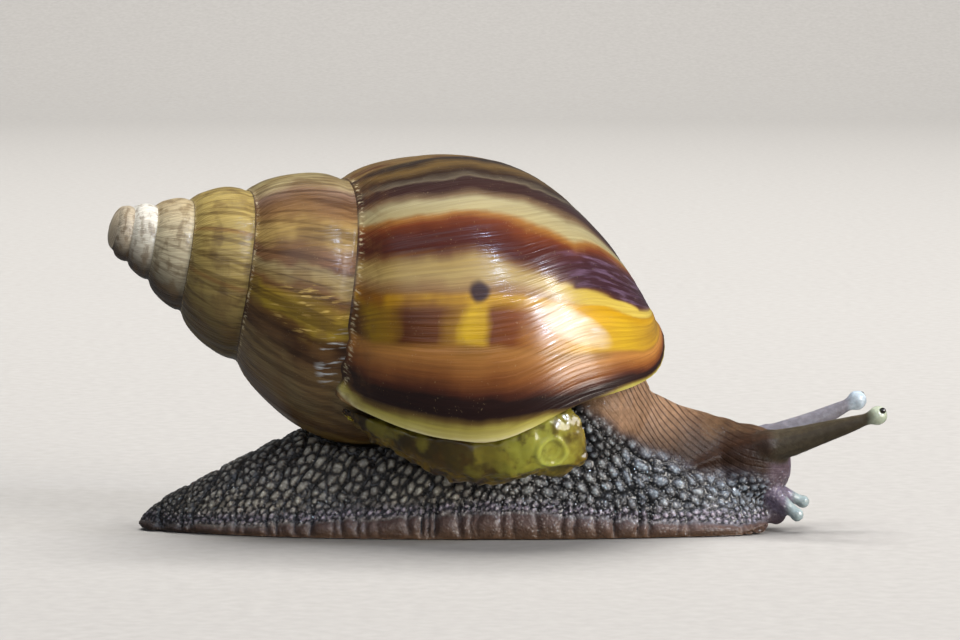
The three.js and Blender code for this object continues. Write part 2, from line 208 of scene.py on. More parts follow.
def positions(piece: bpy.types.Object) -> np.ndarray:
    """Read a mesh's corner places as an array of rows."""
    flat = np.empty(len(piece.data.vertices) * 3)
    piece.data.vertices.foreach_get("co", flat)
    return flat.reshape(-1, 3)


def set_positions(piece: bpy.types.Object, places: np.ndarray) -> None:
    """Write a mesh's corner places from an array of rows."""
    piece.data.vertices.foreach_set("co", places.astype(np.float32).ravel())
    piece.data.update()


def normals(piece: bpy.types.Object) -> np.ndarray:
    """Read a mesh's corner normals as an array of rows."""
    flat = np.empty(len(piece.data.vertices) * 3, dtype=np.float32)
    piece.data.vertex_normals.foreach_get("vector", flat)
    return flat.reshape(-1, 3).astype(float)


def store(piece: bpy.types.Object, name: str, values: np.ndarray) -> None:
    """Keep one number for each corner of a mesh under a name that materials can read."""
    layer = piece.data.attributes.new(name, "FLOAT", "POINT")
    layer.data.foreach_set("value", values.astype(np.float32))


def select_where(piece: bpy.types.Object, chosen: np.ndarray) -> None:
    """Select corners of a mesh from an array of true and false, and nothing else."""
    mesh = piece.data
    mesh.polygons.foreach_set("select", np.zeros(len(mesh.polygons), dtype=bool))
    mesh.edges.foreach_set("select", np.zeros(len(mesh.edges), dtype=bool))
    mesh.vertices.foreach_set("select", chosen)


def apply_modifier(piece: bpy.types.Object, kind: str, **settings: Setting) -> None:
    """Add a modifier to a piece and apply it at once.

    Args:
        piece: the mesh object.
        kind: Blender's name of the modifier type.
        settings: the modifier's properties.
    """
    select_only(piece)
    modifier = piece.modifiers.new(kind.title(), kind)
    for name, value in settings.items():
        setattr(modifier, name, value)
    bpy.ops.object.modifier_apply(modifier=modifier.name)


def merged_copy(node_name: str, name: str) -> bpy.types.Object:
    """Copy a frame node's mesh into a new object and merge its loose triangles.

    Args:
        node_name: the node in the frame.
        name: the new object's name.

    Returns:
        The new object.
    """
    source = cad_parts[node_name]
    copy = bpy.data.objects.new(name, source.data.copy())
    copy.data.materials.clear()
    copy.data.transform(source.matrix_world)
    bpy.context.collection.objects.link(copy)
    with editing(copy):
        bpy.ops.mesh.select_all(action="SELECT")
        bpy.ops.mesh.remove_doubles(threshold=1e-6)
        bpy.ops.mesh.normals_make_consistent(inside=False)
    return copy


def smooth_step(values: np.ndarray | float, low: float, high: float) -> np.ndarray:
    """Ease values from 0 at the low limit to 1 at the high one."""
    share = np.clip((np.asarray(values, dtype=float) - low) / (high - low), 0, 1)
    return share * share * (3 - 2 * share)


def drift(places: np.ndarray, size: float) -> np.ndarray:
    """Smooth noise over a piece.

    Args:
        places: corner places.
        size: size of the noise's swells.

    Returns:
        The noise, about from -1 to 1.
    """
    return np.array([noise.noise(Vector(point) / size) for point in places])


def spline(points: Sequence[tuple[float, float]], steps: int) -> np.ndarray:
    """Draw a centripetal spline through points, so that it rounds uneven steps without a bulge.

    Args:
        points: the points that it passes through.
        steps: how many samples each step between two points gets.

    Returns:
        The samples, as rows.
    """
    knots = np.array(points)
    knots = np.vstack([2 * knots[0] - knots[1], knots, 2 * knots[-1] - knots[-2]])
    samples = []
    for start in range(len(knots) - 3):
        four = knots[start:start + 4]
        gaps = np.sqrt(np.linalg.norm(np.diff(four, axis=0), axis=1))
        times = np.concatenate([[0], np.cumsum(gaps)])
        for time in np.linspace(times[1], times[2], steps, endpoint=False):
            row = list(four)
            for spans in (((0, 1), (1, 2), (2, 3)), ((0, 2), (1, 3)), ((1, 2),)):
                row = [
                    ((times[b] - time) * left + (time - times[a]) * right) / (times[b] - times[a])
                    for (a, b), left, right in zip(spans, row, row[1:])
                ]
            samples.append(row[0])
    samples.append(knots[-2])
    return np.array(samples)


def finish_piece(piece: bpy.types.Object, material: bpy.types.Material,
                 nodes: Sequence[str]) -> None:
    """Dress a piece, put it on the frame and report it.

    Args:
        piece: the finished mesh object.
        material: its finish.
        nodes: the frame nodes that it stands for.
    """
    piece.data.materials.clear()
    piece.data.materials.append(material)
    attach(piece, "root")
    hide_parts(*nodes)
    LOG.info("%s: %d faces", piece.name, len(piece.data.polygons))


# ---- the shell

class Growth(Enum):
    """Names of the shell's stored patterns."""

    WHORL = "Whorl"
    STAGE = "Stage"


@dataclass(frozen=True)
class Growing:
    """Places on the shell's growth and the patterns that several layers of colour share."""

    turn: Socket
    share: Socket
    level: Socket
    lip_turn: Socket
    shifts: Socket
    sheen_streaks: Socket
    mottle: Socket
    patches: Socket


@dataclass(frozen=True)
class ShellFinish:
    """Aragonite shell under a thin horny skin, grown in bands and wetted by slime.

    The bands give dark and amber stripes across each whorl, the wet skin a hard glossy light
    over fine growth lines, and the oldest whorls are worn to a bluish porcelain white that is
    partly painted highlight.
    """

    roughness: float = 0.32
    ior: float = 1.53
    mirror: float = 0.28
    coat: float = 0.5
    coat_roughness: float = 0.17
    # Length of the last turn and of its outline, in millimetres. The sizes of patterns hold
    # there, and the patterns shrink with the older whorls.
    turn_length: float = 78.0
    outline_length: float = 36.0
    line_spacing: float = 0.3276
    line_depth: float = 0.12 * MM
    # Turn of the lip, and the part of the whorl before that carries the front stripes.
    turns: float = 5.4
    front_start: float = 3.95
    front_turns: float = 0.5
    # Bands of the last half whorl: place among the growth stages, and colour.
    bands: Stops = (
        (0.0, "3a2c17"), (0.03, "1e120c"), (0.055, "54401f"), (0.085, "24160e"),
        (0.104, "40372c"), (0.112, "4f4537"), (0.122, "2a1a17"), (0.18, "2c1a17"), (0.215, "5a4834"),
        (0.25, "857c5c"), (0.305, "8a7f5b"), (0.33, "7a5224"), (0.355, "5a2a10"), (0.385, "42190c"),
        (0.425, "3a150c"), (0.445, "58381e"), (0.475, "8d7744"), (0.505, "947f4c"), (0.54, "82643c"),
        (0.565, "704a14"), (0.665, "7c581c"), (0.7, "96652e"), (0.745, "74431a"),
        (0.775, "46200e"), (0.8, "200d09"), (0.865, "200c09"), (0.892, "5e4a1e"), (0.925, "9c9242"),
        (0.97, "b3aa62"), (0.99, "c4bc8c"), (1.0, "8a6a3c"),
    )
    # Amber zone from the suture to the base.
    amber: Stops = (
        (0.0, "3a230a"), (0.03, "452906"), (0.055, "7a5e08"), (0.09, "745408"), (0.118, "4c2404"),
        (0.195, "5c3004"), (0.226, "86600a"), (0.24, "b5930a"), (0.278, "a98609"), (0.3, "5f300a"),
        (0.35, "683407"), (0.4, "8e5a0a"), (0.48, "b48a1e"), (0.6, "ac8a18"), (0.68, "94701c"),
        (1.0, "7c5218"),
    )
    # Stripes on the front of the whorl before, over half a turn.
    front_stripes: Stops = (
        (0.0, "7c6c40"), (0.12, "85784e"), (0.2, "8d805c"), (0.27, "6c5648"), (0.32, "5c422c"),
        (0.37, "6c5030"), (0.42, "8d7644"), (0.455, "8a7240"), (0.49, "6c4f34"), (0.53, "6a4a30"),
        (0.55, "8a7a54"), (0.58, "8a7648"), (0.6, "6b4a28"), (0.625, "826a1e"), (0.675, "85701a"),
        (0.7, "5a3e12"), (0.73, "3e2610"), (0.765, "46301a"), (0.8, "6a5836"), (0.87, "66573a"),
        (1.0, "54462e"),
    )
    # Ground colour by age, in shares of the turns from the apex to the lip. The pale stops at
    # 0.12, 0.18, 0.28 and 0.44 are partly the early whorls' worn white and partly painted highlight.
    ages: Stops = (
        (0.0, "9c907a"), (0.12, "b4ad9c"), (0.18, "c8c6be"), (0.28, "b4ae98"), (0.34, "8a7248"),
        (0.44, "b4ae94"), (0.5, "968c6a"), (0.54, "8f7d48"), (0.66, "8b7942"), (0.74, "84703e"),
        (0.86, "705830"), (1.0, "5e4824"),
    )
    # Turns at which the growth stopped for a while and left a rusty line.
    rust_lines: tuple[float, ...] = (3.1766, 3.2861)

    def build(self) -> bpy.types.Material:
        """Make the material."""
        material, add, surface = new_material("glossy_aragonite_shell")
        whorl = add("UVMap", uv_map=Growth.WHORL.value)
        stage = add("UVMap", uv_map=Growth.STAGE.value)
        turn, share, _ = add("SeparateXYZ", (whorl,)).node.outputs
        level, lip_turn, _ = add("SeparateXYZ", (stage,)).node.outputs
        wobble = self.streaks(add, turn, share, 7.0909, 4.0)
        streak = self.streaks(add, lip_turn, share, 1.3, 6.0)
        # The bands' edges wander by up to 0.03 of the stages, and finely by up to 0.006.
        shift = add("Math", (wobble, 0.06, -0.036), operation="MULTIPLY_ADD")
        # Streaks that break up the painted sheen, highlight and glints.
        sheen_streaks = self.streaks(add, lip_turn, share, 0.41053, 2.5714, 4.0)
        at = Growing(
            turn=turn, share=share, level=level, lip_turn=lip_turn,
            shifts=add("Math", (streak, 0.012, shift), operation="MULTIPLY_ADD"),
            sheen_streaks=add("MapRange", (sheen_streaks, 0.45, 0.75)),
            mottle=self.streaks(add, turn, share, 1.11429, 0.72, 4.0),
            patches=self.streaks(add, turn, share, 6.0, 4.0, 2.0),
        )
        latest = add("MapRange", (level, 0.001, 0.02))
        colour = layered(add, self.spire(add, at), (latest, self.last_whorl(add, at)))
        ridges = self.streaks(add, lip_turn, share, self.line_spacing, 9.0)
        bump = add("Bump", {"Strength": 0.45, "Distance": self.line_depth, "Height": ridges})
        feed(surface, {
            "Base Color": self.worn(add, at, colour), "Roughness": self.roughness, "IOR": self.ior,
            "Specular IOR Level": self.mirror, "Normal": bump, "Coat Normal": bump,
            "Coat Weight": self.coat, "Coat Roughness": self.coat_roughness,
        })
        return material

    def last_whorl(self, add: AddNode, at: Growing) -> Socket:
        """Colour the bands of the last half whorl.

        Args:
            add: adds a node to the material.
            at: places and shared patterns.

        Returns:
            The bands' colour.
        """
        outward = add("MapRange", (at.share, 0.36, 0.5, 0.0, 0.8))
        violet = overlap(add, outward, self.window(add, at.level, 0.345, 0.375, 0.43, 0.46))
        cream = overlap(add, add("MapRange", (at.share, 0.36, 0.5, 0.0, 0.85)),
                        self.window(add, at.level, 0.445, 0.475, 0.54, 0.58))
        amber_place = add("Math", (at.shifts, 1.3, at.share), operation="MULTIPLY_ADD")
        amber = add("ValToRGB", (amber_place,), stops=self.amber)
        flecks = overlap(add, add("MapRange", (at.patches, 0.38, 0.6)), add("MapRange", (at.share, 0.4, 0.3)))
        mustard = layered(add, "a47c08", (flecks, "784c08"))
        amber = layered(add, amber, (add("MapRange", (at.level, 0.605, 0.565)), mustard))
        spot_turn = add("Math", (at.shifts, 0.25, at.turn), operation="MULTIPLY_ADD")
        # Painted highlight: a pale cream patch on the body whorl, streaked along the growth lines.
        painted_highlight = overlap(add, self.patch(add, at.turn, at.share, (5.209, 0.462), (0.0135, 0.085)),
                           add("MapRange", (at.sheen_streaks, 0.0, 1.0, 0.5, 0.95)))
        near_suture = overlap(add, add("MapRange", (at.share, 0.1, 0.02)),
                              add("MapRange", (at.mottle, 0.4, 0.65, 0.1, 0.4)))
        place = add("Math", (at.level, at.shifts), operation="ADD")
        return layered(
            add, add("ValToRGB", (place,), stops=self.bands),
            # The violet band, with lighter streaks of painted sheen over it.
            (violet, layered(add, "2a1620", (at.sheen_streaks, "57455a"))),
            (cream, "b09a3e"),
            (self.window(add, at.level, 0.545, 0.57, 0.665, 0.685), amber),
            (self.patch(add, spot_turn, at.share, (5.204, 0.261), (0.0095, 0.021)), "2c120a"),
            (painted_highlight, "c9bfae"),
            (near_suture, "5a3c20"),
        )

    def spire(self, add: AddNode, at: Growing) -> Socket:
        """Colour the older whorls.

        Args:
            add: adds a node to the material.
            at: places and shared patterns.

        Returns:
            Their colour.
        """
        aged = add("ValToRGB", (add("Math", (at.turn, self.turns), operation="DIVIDE"),), stops=self.ages)
        flame = self.streaks(add, at.turn, at.share, 3.0, 9.0, 3.5)
        flame = overlap(add, add("MapRange", (flame, 0.47, 0.6)),
                        add("MapRange", (at.turn, 3.3, 4.9, 0.0, 0.9)))
        aged = layered(add, aged, (flame, "43240f"))
        for place in self.rust_lines:
            line = self.window(add, at.turn, place - 0.007, place - 0.002, place + 0.002, place + 0.009, 0.6)
            aged = layered(add, aged, (line, "6a4420"))
        place = add("MapRange", (at.turn, self.front_start, self.front_start + self.front_turns),
                    interpolation_type="LINEAR", clamp=False)
        place = add("Math", (at.shifts, 1.4, place), operation="MULTIPLY_ADD")
        # Painted glints: golden-white flecks on the whorl before the last.
        painted_glints = overlap(add, self.patch(add, at.turn, at.share, (4.272, 0.2), (0.035, 0.12)),
                       add("MapRange", (at.sheen_streaks, 0.45, 0.9, 0.0, 0.7)))
        # Painted sheen: a bluish pale streaked patch on the whorl before the last.
        painted_sheen = overlap(add, self.patch(add, at.turn, at.share, (4.32, 0.29), (0.04, 0.05)),
                        add("MapRange", (at.sheen_streaks, 0.2, 1.0, 0.0, 0.75)))
        front = layered(
            add, add("ValToRGB", (place,), stops=self.front_stripes),
            (add("MapRange", (at.patches, 0.42, 0.62, 0.0, 0.45)), "5e4426"),
            (painted_glints, "c4a85c"),
            (painted_sheen, "b4c0c8"),
        )
        # Painted shade: the lower side of each early whorl is darkened.
        underside_shade = self.window(add, add("Math", (at.turn,), operation="FRACT"), 0.26, 0.42, 0.55, 0.8)
        grime = self.streaks(add, at.turn, at.share, 4.5882, 3.2727, 4.0)
        return layered(
            add, aged,
            (self.window(add, at.turn, 3.93, 3.99, 4.4, 4.46), front),
            (overlap(add, underside_shade, add("MapRange", (at.turn, 3.9, 3.2, 0.0, 0.95))), "2e1f12"),
            (overlap(add, add("MapRange", (grime, 0.46, 0.68)),
                     add("MapRange", (at.turn, 4.6, 3.6, 0.0, 0.55))), "5b4526"),
        )

    def worn(self, add: AddNode, at: Growing, colour: Socket) -> Socket:
        """Wear the whole shell: growth lines, weathered streaks, worn specks and the sutures.

        Args:
            add: adds a node to the material.
            at: places and shared patterns.
            colour: the colour of the bands.

        Returns:
            The worn colour.
        """
        fine = self.streaks(add, at.lip_turn, at.share, 0.325, 7.2, 4.0)
        coarse = self.streaks(add, at.turn, at.share, 0.86667, 12.0)
        weathered = overlap(add, add("MapRange", (coarse, 0.56, 0.36)),
                            add("MapRange", (at.turn, 4.7, 4.3, 0.0, 0.55)),
                            add("MapRange", (at.turn, 1.2, 3.0, 0.35, 1.0)))
        specks = self.streaks(add, at.turn, at.share, 0.185714, 0.12, 2.0)
        specks = overlap(add, add("MapRange", (specks, 0.66, 0.76)),
                         add("MapRange", (at.mottle, 0.5, 0.66, 0.0, 0.35)))
        beads = self.streaks(add, at.turn, at.share, 0.3, 0.6)
        beads = overlap(add, self.window(add, at.share, 0.003, 0.007, 0.011, 0.022),
                        add("MapRange", (beads, 0.5, 0.66, 0.0, 0.45)), add("MapRange", (at.turn, 1.2, 2.2)))
        seam = overlap(add, add("MapRange", (at.share, 0.009, 0.001, 0.0, 0.75)),
                       add("MapRange", (at.turn, 1.5, 3.5)))
        return layered(
            add, colour,
            (add("MapRange", (fine, 0.62, 0.35, 0.0, 0.2)), "8a6a48", "MULTIPLY"),
            (weathered, "80664a", "MULTIPLY"),
            (specks, "a08d68"),
            (beads, "c8bb98"),
            (seam, "2a1c10"),
        )

    def window(self, add: AddNode, source: Socket, rise: float, full: float, fall: float,
               end: float, height: float = 1.0) -> Socket:
        """Mask that rises, stays whole and falls again along one value.

        Args:
            add: adds a node to the material.
            source: the value.
            rise: where the mask starts.
            full: where it is whole.
            fall: where it starts to fade.
            end: where it ends.
            height: the mask's value where it is whole.

        Returns:
            The mask.
        """
        return overlap(add, add("MapRange", (source, rise, full, 0.0, height)),
                       add("MapRange", (source, end, fall)))

    def streaks(self, add: AddNode, across: Socket, along: Socket, width: float, length: float,
                detail: float = 3.0) -> Socket:
        """Patches or streaks drawn out along or across the growth lines.

        Args:
            add: adds a node to the material.
            across: place across the growth lines, in turns.
            along: place along them, as a share of the whorl's outline.
            width: their size across the growth lines on the last whorl, in millimetres.
            length: their size along them, in millimetres.
            detail: how finely they break up.

        Returns:
            The pattern, from 0 to 1.
        """
        place = add("CombineXYZ", (
            add("Math", (across, self.turn_length / width), operation="MULTIPLY"),
            add("Math", (along, self.outline_length / length), operation="MULTIPLY"),
        ))
        return add("TexNoise", {"Vector": place, "Scale": 1.0, "Detail": detail}, noise_dimensions="2D")

    def patch(self, add: AddNode, turn: Socket, share: Socket, centre: tuple[float, float],
              radii: tuple[float, float]) -> Socket:
        """Soft oval mask on the whorl.

        Args:
            add: adds a node to the material.
            turn: place along the spiral.
            share: place on the whorl's outline.
            centre: turn and share of the oval's middle.
            radii: its half sizes.

        Returns:
            1 inside the oval and 0 outside.
        """
        squares = []
        for value, middle, radius in zip((turn, share), centre, radii):
            away = add("Math", (value, middle), operation="SUBTRACT")
            away = add("Math", (away, radius), operation="DIVIDE")
            squares.append(add("Math", (away, 2.0), operation="POWER"))
        return add("MapRange", (add("Math", squares, operation="ADD"), 1.5, 0.3))


@dataclass
class SpiralShell:
    """The right-handed spiral shell, drawn out backward from its lip."""

    pitch: float = math.radians(17.4)
    yaw: float = math.radians(8)
    origin: Vector = field(default_factory=lambda: Vector((-28.5, -3.4, 22.0)) * MM)
    growth: float = 1.53
    reference_turn: float = 5.0
    first_lip_turn: float = 5.375
    columns: int = 96
    band_rows: int = 10
    base_rows: int = 18
    outline_samples: int = 60
    wall: float = 0.3 * MM
    lip_crease: float = math.radians(50)
    weld_distance: float = 0.002 * MM
    # Over how many turns the lower edge comes free of the suture at the start of the last whorl.
    free_turns: float = 0.06
    # Turn before which the spiral's open start is closed by a dome.
    dome_turn: float = 1.3
    apex_swell: float = 0.35
    apex_swell_turns: float = 1.35
    apex_dome: float = 0.8 * MM
    # Rings of the dome over the first whorl: how much each narrows, and its share of the height.
    apex_rings: tuple[tuple[float, float], ...] = ((0.93, 0.34), (0.81, 0.3), (0.65, 0.22), (0.4, 0.12))
    # Growth ridges: how many to a turn, and their height.
    ridges: tuple[tuple[int, float], ...] = ((60, 0.02 * MM), (95, 0.018 * MM))
    ridge_count: int = 1200
    seed: int = 7
    # How much higher the ribs of the middle whorls stand.
    ribbing: float = 1.6
    # How far each whorl of the spire swells between its sutures, as a share of its radius.
    bulge: float = 0.03
    bulge_fade: tuple[float, float] = (4.65, 4.3)
    # Distance along the axis and how far the whorls there are drawn to the apex, in millimetres.
    whorl_shifts: tuple[tuple[float, float], ...] = (
        (0, 0), (2, 0.08), (3, 0.16), (4.6, 0.32), (7, 0.55), (9, 0.64), (10.7, 0.65), (12.2, 0.57),
        (13.8, 0.38), (15.2, 0.19), (16.5, 0.08), (19, 0),
    )
    lip_descent: float = 0.6 * MM
    lip_descent_turns: float = 0.3
    # Distance along the axis and radius about it at the reference turn, in millimetres.
    outline: tuple[tuple[float, float], ...] = (
        (16.3, 7.7), (17.15, 8.9), (19.6, 10.45), (22.8, 11.75), (26.4, 12.25), (28.7, 11.95),
        (31.15, 11.05), (34.7, 8.9), (38.6, 5.45), (41.3, 2.4), (42.0, 0.0),
    )
    # Share of the outline and the turn at which the lip ends it.
    lip_line: tuple[tuple[float, float], ...] = (
        (0, 5.375), (0.06, 5.355), (0.21, 5.336), (0.34, 5.317), (0.47, 5.274), (0.62, 5.245),
        (0.7, 5.219), (0.74, 5.19), (0.78, 5.12), (0.84, 5.0), (0.92, 4.93), (1, 4.9),
    )
    # Edges of the colour bands: place among the stages, then the turn at four shares.
    stage_shares: tuple[float, ...] = (0.05, 0.25, 0.45, 0.65)
    # How fast the stage falls below 0 before the first band, for each turn.
    stage_fall: float = 1.7
    stages: tuple[tuple[float, tuple[float, float, float, float]], ...] = (
        (0.0, (5.030, 5.015, 5.005, 4.975)),
        (0.11, (5.095, 5.078, 5.070, 5.040)),
        (0.22, (5.118, 5.108, 5.098, 5.072)),
        (0.34, (5.148, 5.134, 5.132, 5.080)),
        (0.44, (5.188, 5.169, 5.176, 5.150)),
        (0.56, (5.231, 5.209, 5.188, 5.162)),
        (0.675, (5.280, 5.249, 5.234, 5.202)),
        (0.775, (5.319, 5.290, 5.266, 5.225)),
        (0.885, (5.344, 5.315, 5.281, 5.2325)),
        (1.0, (5.358, 5.333, 5.288, 5.2395)),
    )
    # Places of the finely drawn outline, its length up to each, where the next whorl meets it
    # and how many columns the lip has slanted back by there.
    dense: np.ndarray = field(init=False)
    lengths: np.ndarray = field(init=False)
    next_share: float = field(init=False)
    slant_columns: int = field(init=False)

    def curve(self, share: float) -> tuple[float, float]:
        """Point of the whorl's outline by its share of the length.

        Args:
            share: 0 at the suture and 1 on the axis.

        Returns:
            Distance along the axis and radius, in millimetres at the reference turn.
        """
        place = float(np.clip(share, 0, 1)) * self.lengths[-1]
        return (float(np.interp(place, self.lengths, self.dense[:, 0])),
                float(np.interp(place, self.lengths, self.dense[:, 1])))

    def __post_init__(self) -> None:
        """Draw the outline finely and find where the whorls meet."""
        self.dense = spline(self.outline, self.outline_samples)
        steps = np.linalg.norm(np.diff(self.dense, axis=0), axis=1)
        self.lengths = np.concatenate([[0], np.cumsum(steps)])
        meeting = float(np.interp(self.outline[0][0] * self.growth, self.dense[:, 0], self.lengths))
        self.next_share = meeting / self.lengths[-1]
        slant = self.lip_at(self.next_share) - self.first_lip_turn
        self.slant_columns = round(-slant * self.columns)

    def lip_at(self, share: float) -> float:
        """Turn at which the lip ends the outline at one share."""
        shares, turns = zip(*self.lip_line)
        around = [float(np.interp(share + offset, shares, turns)) for offset in (-0.02, 0, 0.02)]
        return sum(around) / 3 if 0.02 < share < 0.98 else around[1]

    def chain(self) -> tuple[list[Vector], list[float]]:
        """Places of the lip's edge in the shell's own frame, with the share of each."""
        band = [self.next_share * (row / self.band_rows) for row in range(self.band_rows + 1)]
        base = [self.next_share + (1 - self.next_share) * row / self.base_rows
                for row in range(1, self.base_rows + 1)]
        shares = band + base
        places = []
        for share in shares:
            turn = self.lip_at(share)
            if share == 0:
                turn = self.first_lip_turn
            if share == band[-1]:
                turn = self.first_lip_turn - self.slant_columns / self.columns
            scale = self.growth ** (turn - self.reference_turn) * MM
            along, radius = self.curve(share)
            angle = 2 * math.pi * turn
            places.append(Vector((radius * math.cos(angle), radius * math.sin(angle), along)) * scale)
        return places, shares

    def build(self) -> bpy.types.Object:
        """Model the shell.

        Returns:
            The finished shell.
        """
        places, shares = self.chain()
        bpy.ops.object.select_all(action="DESELECT")
        bpy.ops.mesh.primitive_plane_add(size=MM, location=(0, 0, 0))
        shell = bpy.context.active_object
        shell.name = "spiral_shell"
        with editing(shell):
            bpy.ops.mesh.select_mode(type="VERT")
            bpy.ops.mesh.select_all(action="SELECT")
            bpy.ops.mesh.merge(type="CENTER")
            bpy.ops.transform.translate(value=places[0])
            for before, after in zip(places, places[1:]):
                bpy.ops.mesh.extrude_vertices_move(TRANSFORM_OT_translate={"value": after - before})
        drawn = positions(shell)
        nearest = [int(np.argmin(np.linalg.norm(np.array(places) - point, axis=1))) for point in drawn]
        store(shell, "share", np.array(shares)[nearest])
        whole = self.columns - self.slant_columns
        self.draw_back(shell, np.ones(len(shares), dtype=bool), whole)
        marks = self.shares_of(shell)
        latest = np.arange(len(marks)) >= len(marks) - len(shares)
        self.draw_back(shell, latest & (marks < self.next_share + SAME),
                       round(self.first_lip_turn * self.columns) - whole)
        self.weld(shell)
        self.close_apex(shell)
        self.mark_growth(shell)
        self.shape(shell)
        self.place(shell)
        apply_modifier(shell, "SUBSURF", levels=1, render_levels=1, uv_smooth="NONE")
        self.relieve(shell)
        apply_modifier(shell, "SOLIDIFY", thickness=self.wall, offset=-1.0)
        select_only(shell)
        bpy.ops.object.shade_smooth_by_angle(angle=self.lip_crease)
        return shell

    def shares_of(self, shell: bpy.types.Object) -> np.ndarray:
        """Read each corner's share of the outline."""
        marks = np.empty(len(shell.data.vertices), dtype=np.float32)
        shell.data.attributes["share"].data.foreach_get("value", marks)
        return marks

    def draw_back(self, shell: bpy.types.Object, chosen: np.ndarray, count: int) -> None:
        """Extrude the chosen edge back along the spiral, a column at a time.

        Args:
            shell: the growing mesh.
            chosen: which corners are the edge.
            count: how many columns to add.
        """
        select_where(shell, chosen)
        shrink = self.growth ** (-1 / self.columns)
        with editing(shell):
            for _ in range(count):
                bpy.ops.mesh.extrude_region()
                bpy.ops.transform.rotate(value=2 * math.pi / self.columns, orient_axis="Z",
                                         center_override=(0, 0, 0))
                bpy.ops.transform.resize(value=(shrink, shrink, shrink), center_override=(0, 0, 0))

    def weld(self, shell: bpy.types.Object) -> None:
        """Bend each whorl's lower edge in to the suture and join it to the whorl below."""
        marks = self.shares_of(shell)
        places = positions(shell)
        turns = self.turns_of(places, marks)
        outline_radius = self.curve(self.next_share)[1]
        tuck = self.outline[0][1] * self.growth / outline_radius
        at_edge = np.abs(marks - self.next_share) < SAME
        welded_from = self.first_lip_turn - 1
        eased = 1 - smooth_step(turns, welded_from + SAME, welded_from + self.free_turns)
        factor = np.where(at_edge, 1 + (tuck - 1) * eased, 1.0)
        places[:, 0] *= factor
        places[:, 1] *= factor
        set_positions(shell, places)
        with editing(shell):
            bpy.ops.mesh.select_all(action="SELECT")
            bpy.ops.mesh.remove_doubles(threshold=self.weld_distance)
            bpy.ops.mesh.normals_make_consistent(inside=False)

    def turns_of(self, places: np.ndarray, marks: np.ndarray) -> np.ndarray:
        """Turn of each corner from its distance along the axis and its share."""
        alongs = np.array([self.curve(mark)[0] for mark in np.unique(marks)])
        reference = np.interp(marks, np.unique(marks), alongs) * MM
        scale = np.log(np.maximum(places[:, 2], 1e-9) / reference) / math.log(self.growth)
        return self.reference_turn + scale

    def close_apex(self, shell: bpy.types.Object) -> None:
        """Draw the open start of the spiral together into a low dome."""
        mesh = shell.data
        uses = np.zeros(len(mesh.edges), dtype=int)
        for loop in mesh.loops:
            uses[loop.edge_index] += 1
        places = positions(shell)
        limit = self.outline[0][0] * MM * self.growth ** (self.dome_turn - self.reference_turn)
        chosen = np.zeros(len(mesh.vertices), dtype=bool)
        for edge in mesh.edges:
            if uses[edge.index] == 1 and max(places[place][2] for place in edge.vertices) < limit:
                chosen[list(edge.vertices)] = True
        select_where(shell, chosen)
        centre = Vector(places[chosen].mean(axis=0))
        with editing(shell):
            for narrowing, rise in self.apex_rings:
                bpy.ops.mesh.extrude_region()
                bpy.ops.transform.resize(value=(narrowing, narrowing, 0.5), center_override=centre)
                bpy.ops.transform.translate(value=(0, 0, -self.apex_dome * rise))
                centre.z -= self.apex_dome * rise
            bpy.ops.mesh.merge(type="CENTER")
            bpy.ops.mesh.select_all(action="SELECT")
            bpy.ops.mesh.normals_make_consistent(inside=False)

    def mark_growth(self, shell: bpy.types.Object) -> None:
        """Store turn, share and growth stage at each face corner."""
        mesh = shell.data
        marks = self.shares_of(shell)
        places = positions(shell)
        whorl = mesh.uv_layers[0] if mesh.uv_layers else mesh.uv_layers.new(name=Growth.WHORL.value)
        whorl.name = Growth.WHORL.value
        stage = mesh.uv_layers.new(name=Growth.STAGE.value)
        at_suture = (marks < SAME) | (np.abs(marks - self.next_share) < SAME)
        corner_vertex = np.array([loop.vertex_index for loop in mesh.loops])
        corner_share = marks[corner_vertex].astype(float)
        for polygon in mesh.polygons:
            inner = [marks[v] for v in polygon.vertices if not at_suture[v]]
            halfway = self.next_share / 2
            middle = sum(inner) / len(inner) if inner else halfway
            # A suture's corners belong to two whorls, so each face takes the share on its own side.
            for loop in polygon.loop_indices:
                if halfway < middle < self.next_share + SAME and corner_share[loop] < SAME:
                    corner_share[loop] = self.next_share
                elif middle <= halfway and abs(corner_share[loop] - self.next_share) < SAME:
                    corner_share[loop] = 0.0
        turns = self.turns_of(places[corner_vertex], corner_share.astype(np.float32))
        turns = np.clip(turns, 0, self.first_lip_turn)
        lips = np.array([self.lip_at(share) for share in np.unique(corner_share)])
        ends = np.interp(corner_share, np.unique(corner_share), lips)
        lip_turns = turns - (ends - self.first_lip_turn)
        levels = self.levels_of(turns, corner_share)
        for layer, pair in ((whorl, (turns, corner_share)), (stage, (levels, lip_turns))):
            layer.data.foreach_set("uv", np.column_stack(pair).astype(np.float32).ravel())

    def levels_of(self, turns: np.ndarray, shares: np.ndarray) -> np.ndarray:
        """Growth stage, from 0 to 1 over the last bands and below 0 before them.

        Args:
            turns: turn of each corner.
            shares: share of the outline of each corner.

        Returns:
            The stage of each corner.
        """
        last_share = self.stage_shares[-1]
        beyond = np.array([self.lip_at(share) for share in np.unique(shares)]) - self.lip_at(last_share)
        shift = np.interp(shares, np.unique(shares), beyond)
        turns = turns - np.where(shares > last_share, shift, 0)
        edges = np.array([
            np.interp(shares, self.stage_shares, turn_row) for _, turn_row in self.stages
        ])
        values = [value for value, _ in self.stages]
        levels = np.minimum((turns - edges[0]) * self.stage_fall, 0.0)
        for low in range(len(values) - 1):
            inside = (turns >= edges[low]) & (turns < edges[low + 1])
            share = (turns - edges[low]) / (edges[low + 1] - edges[low])
            levels = np.where(inside, values[low] + share * (values[low + 1] - values[low]), levels)
        return np.where(turns >= edges[-1], 1.0 + (turns - edges[-1]), levels)

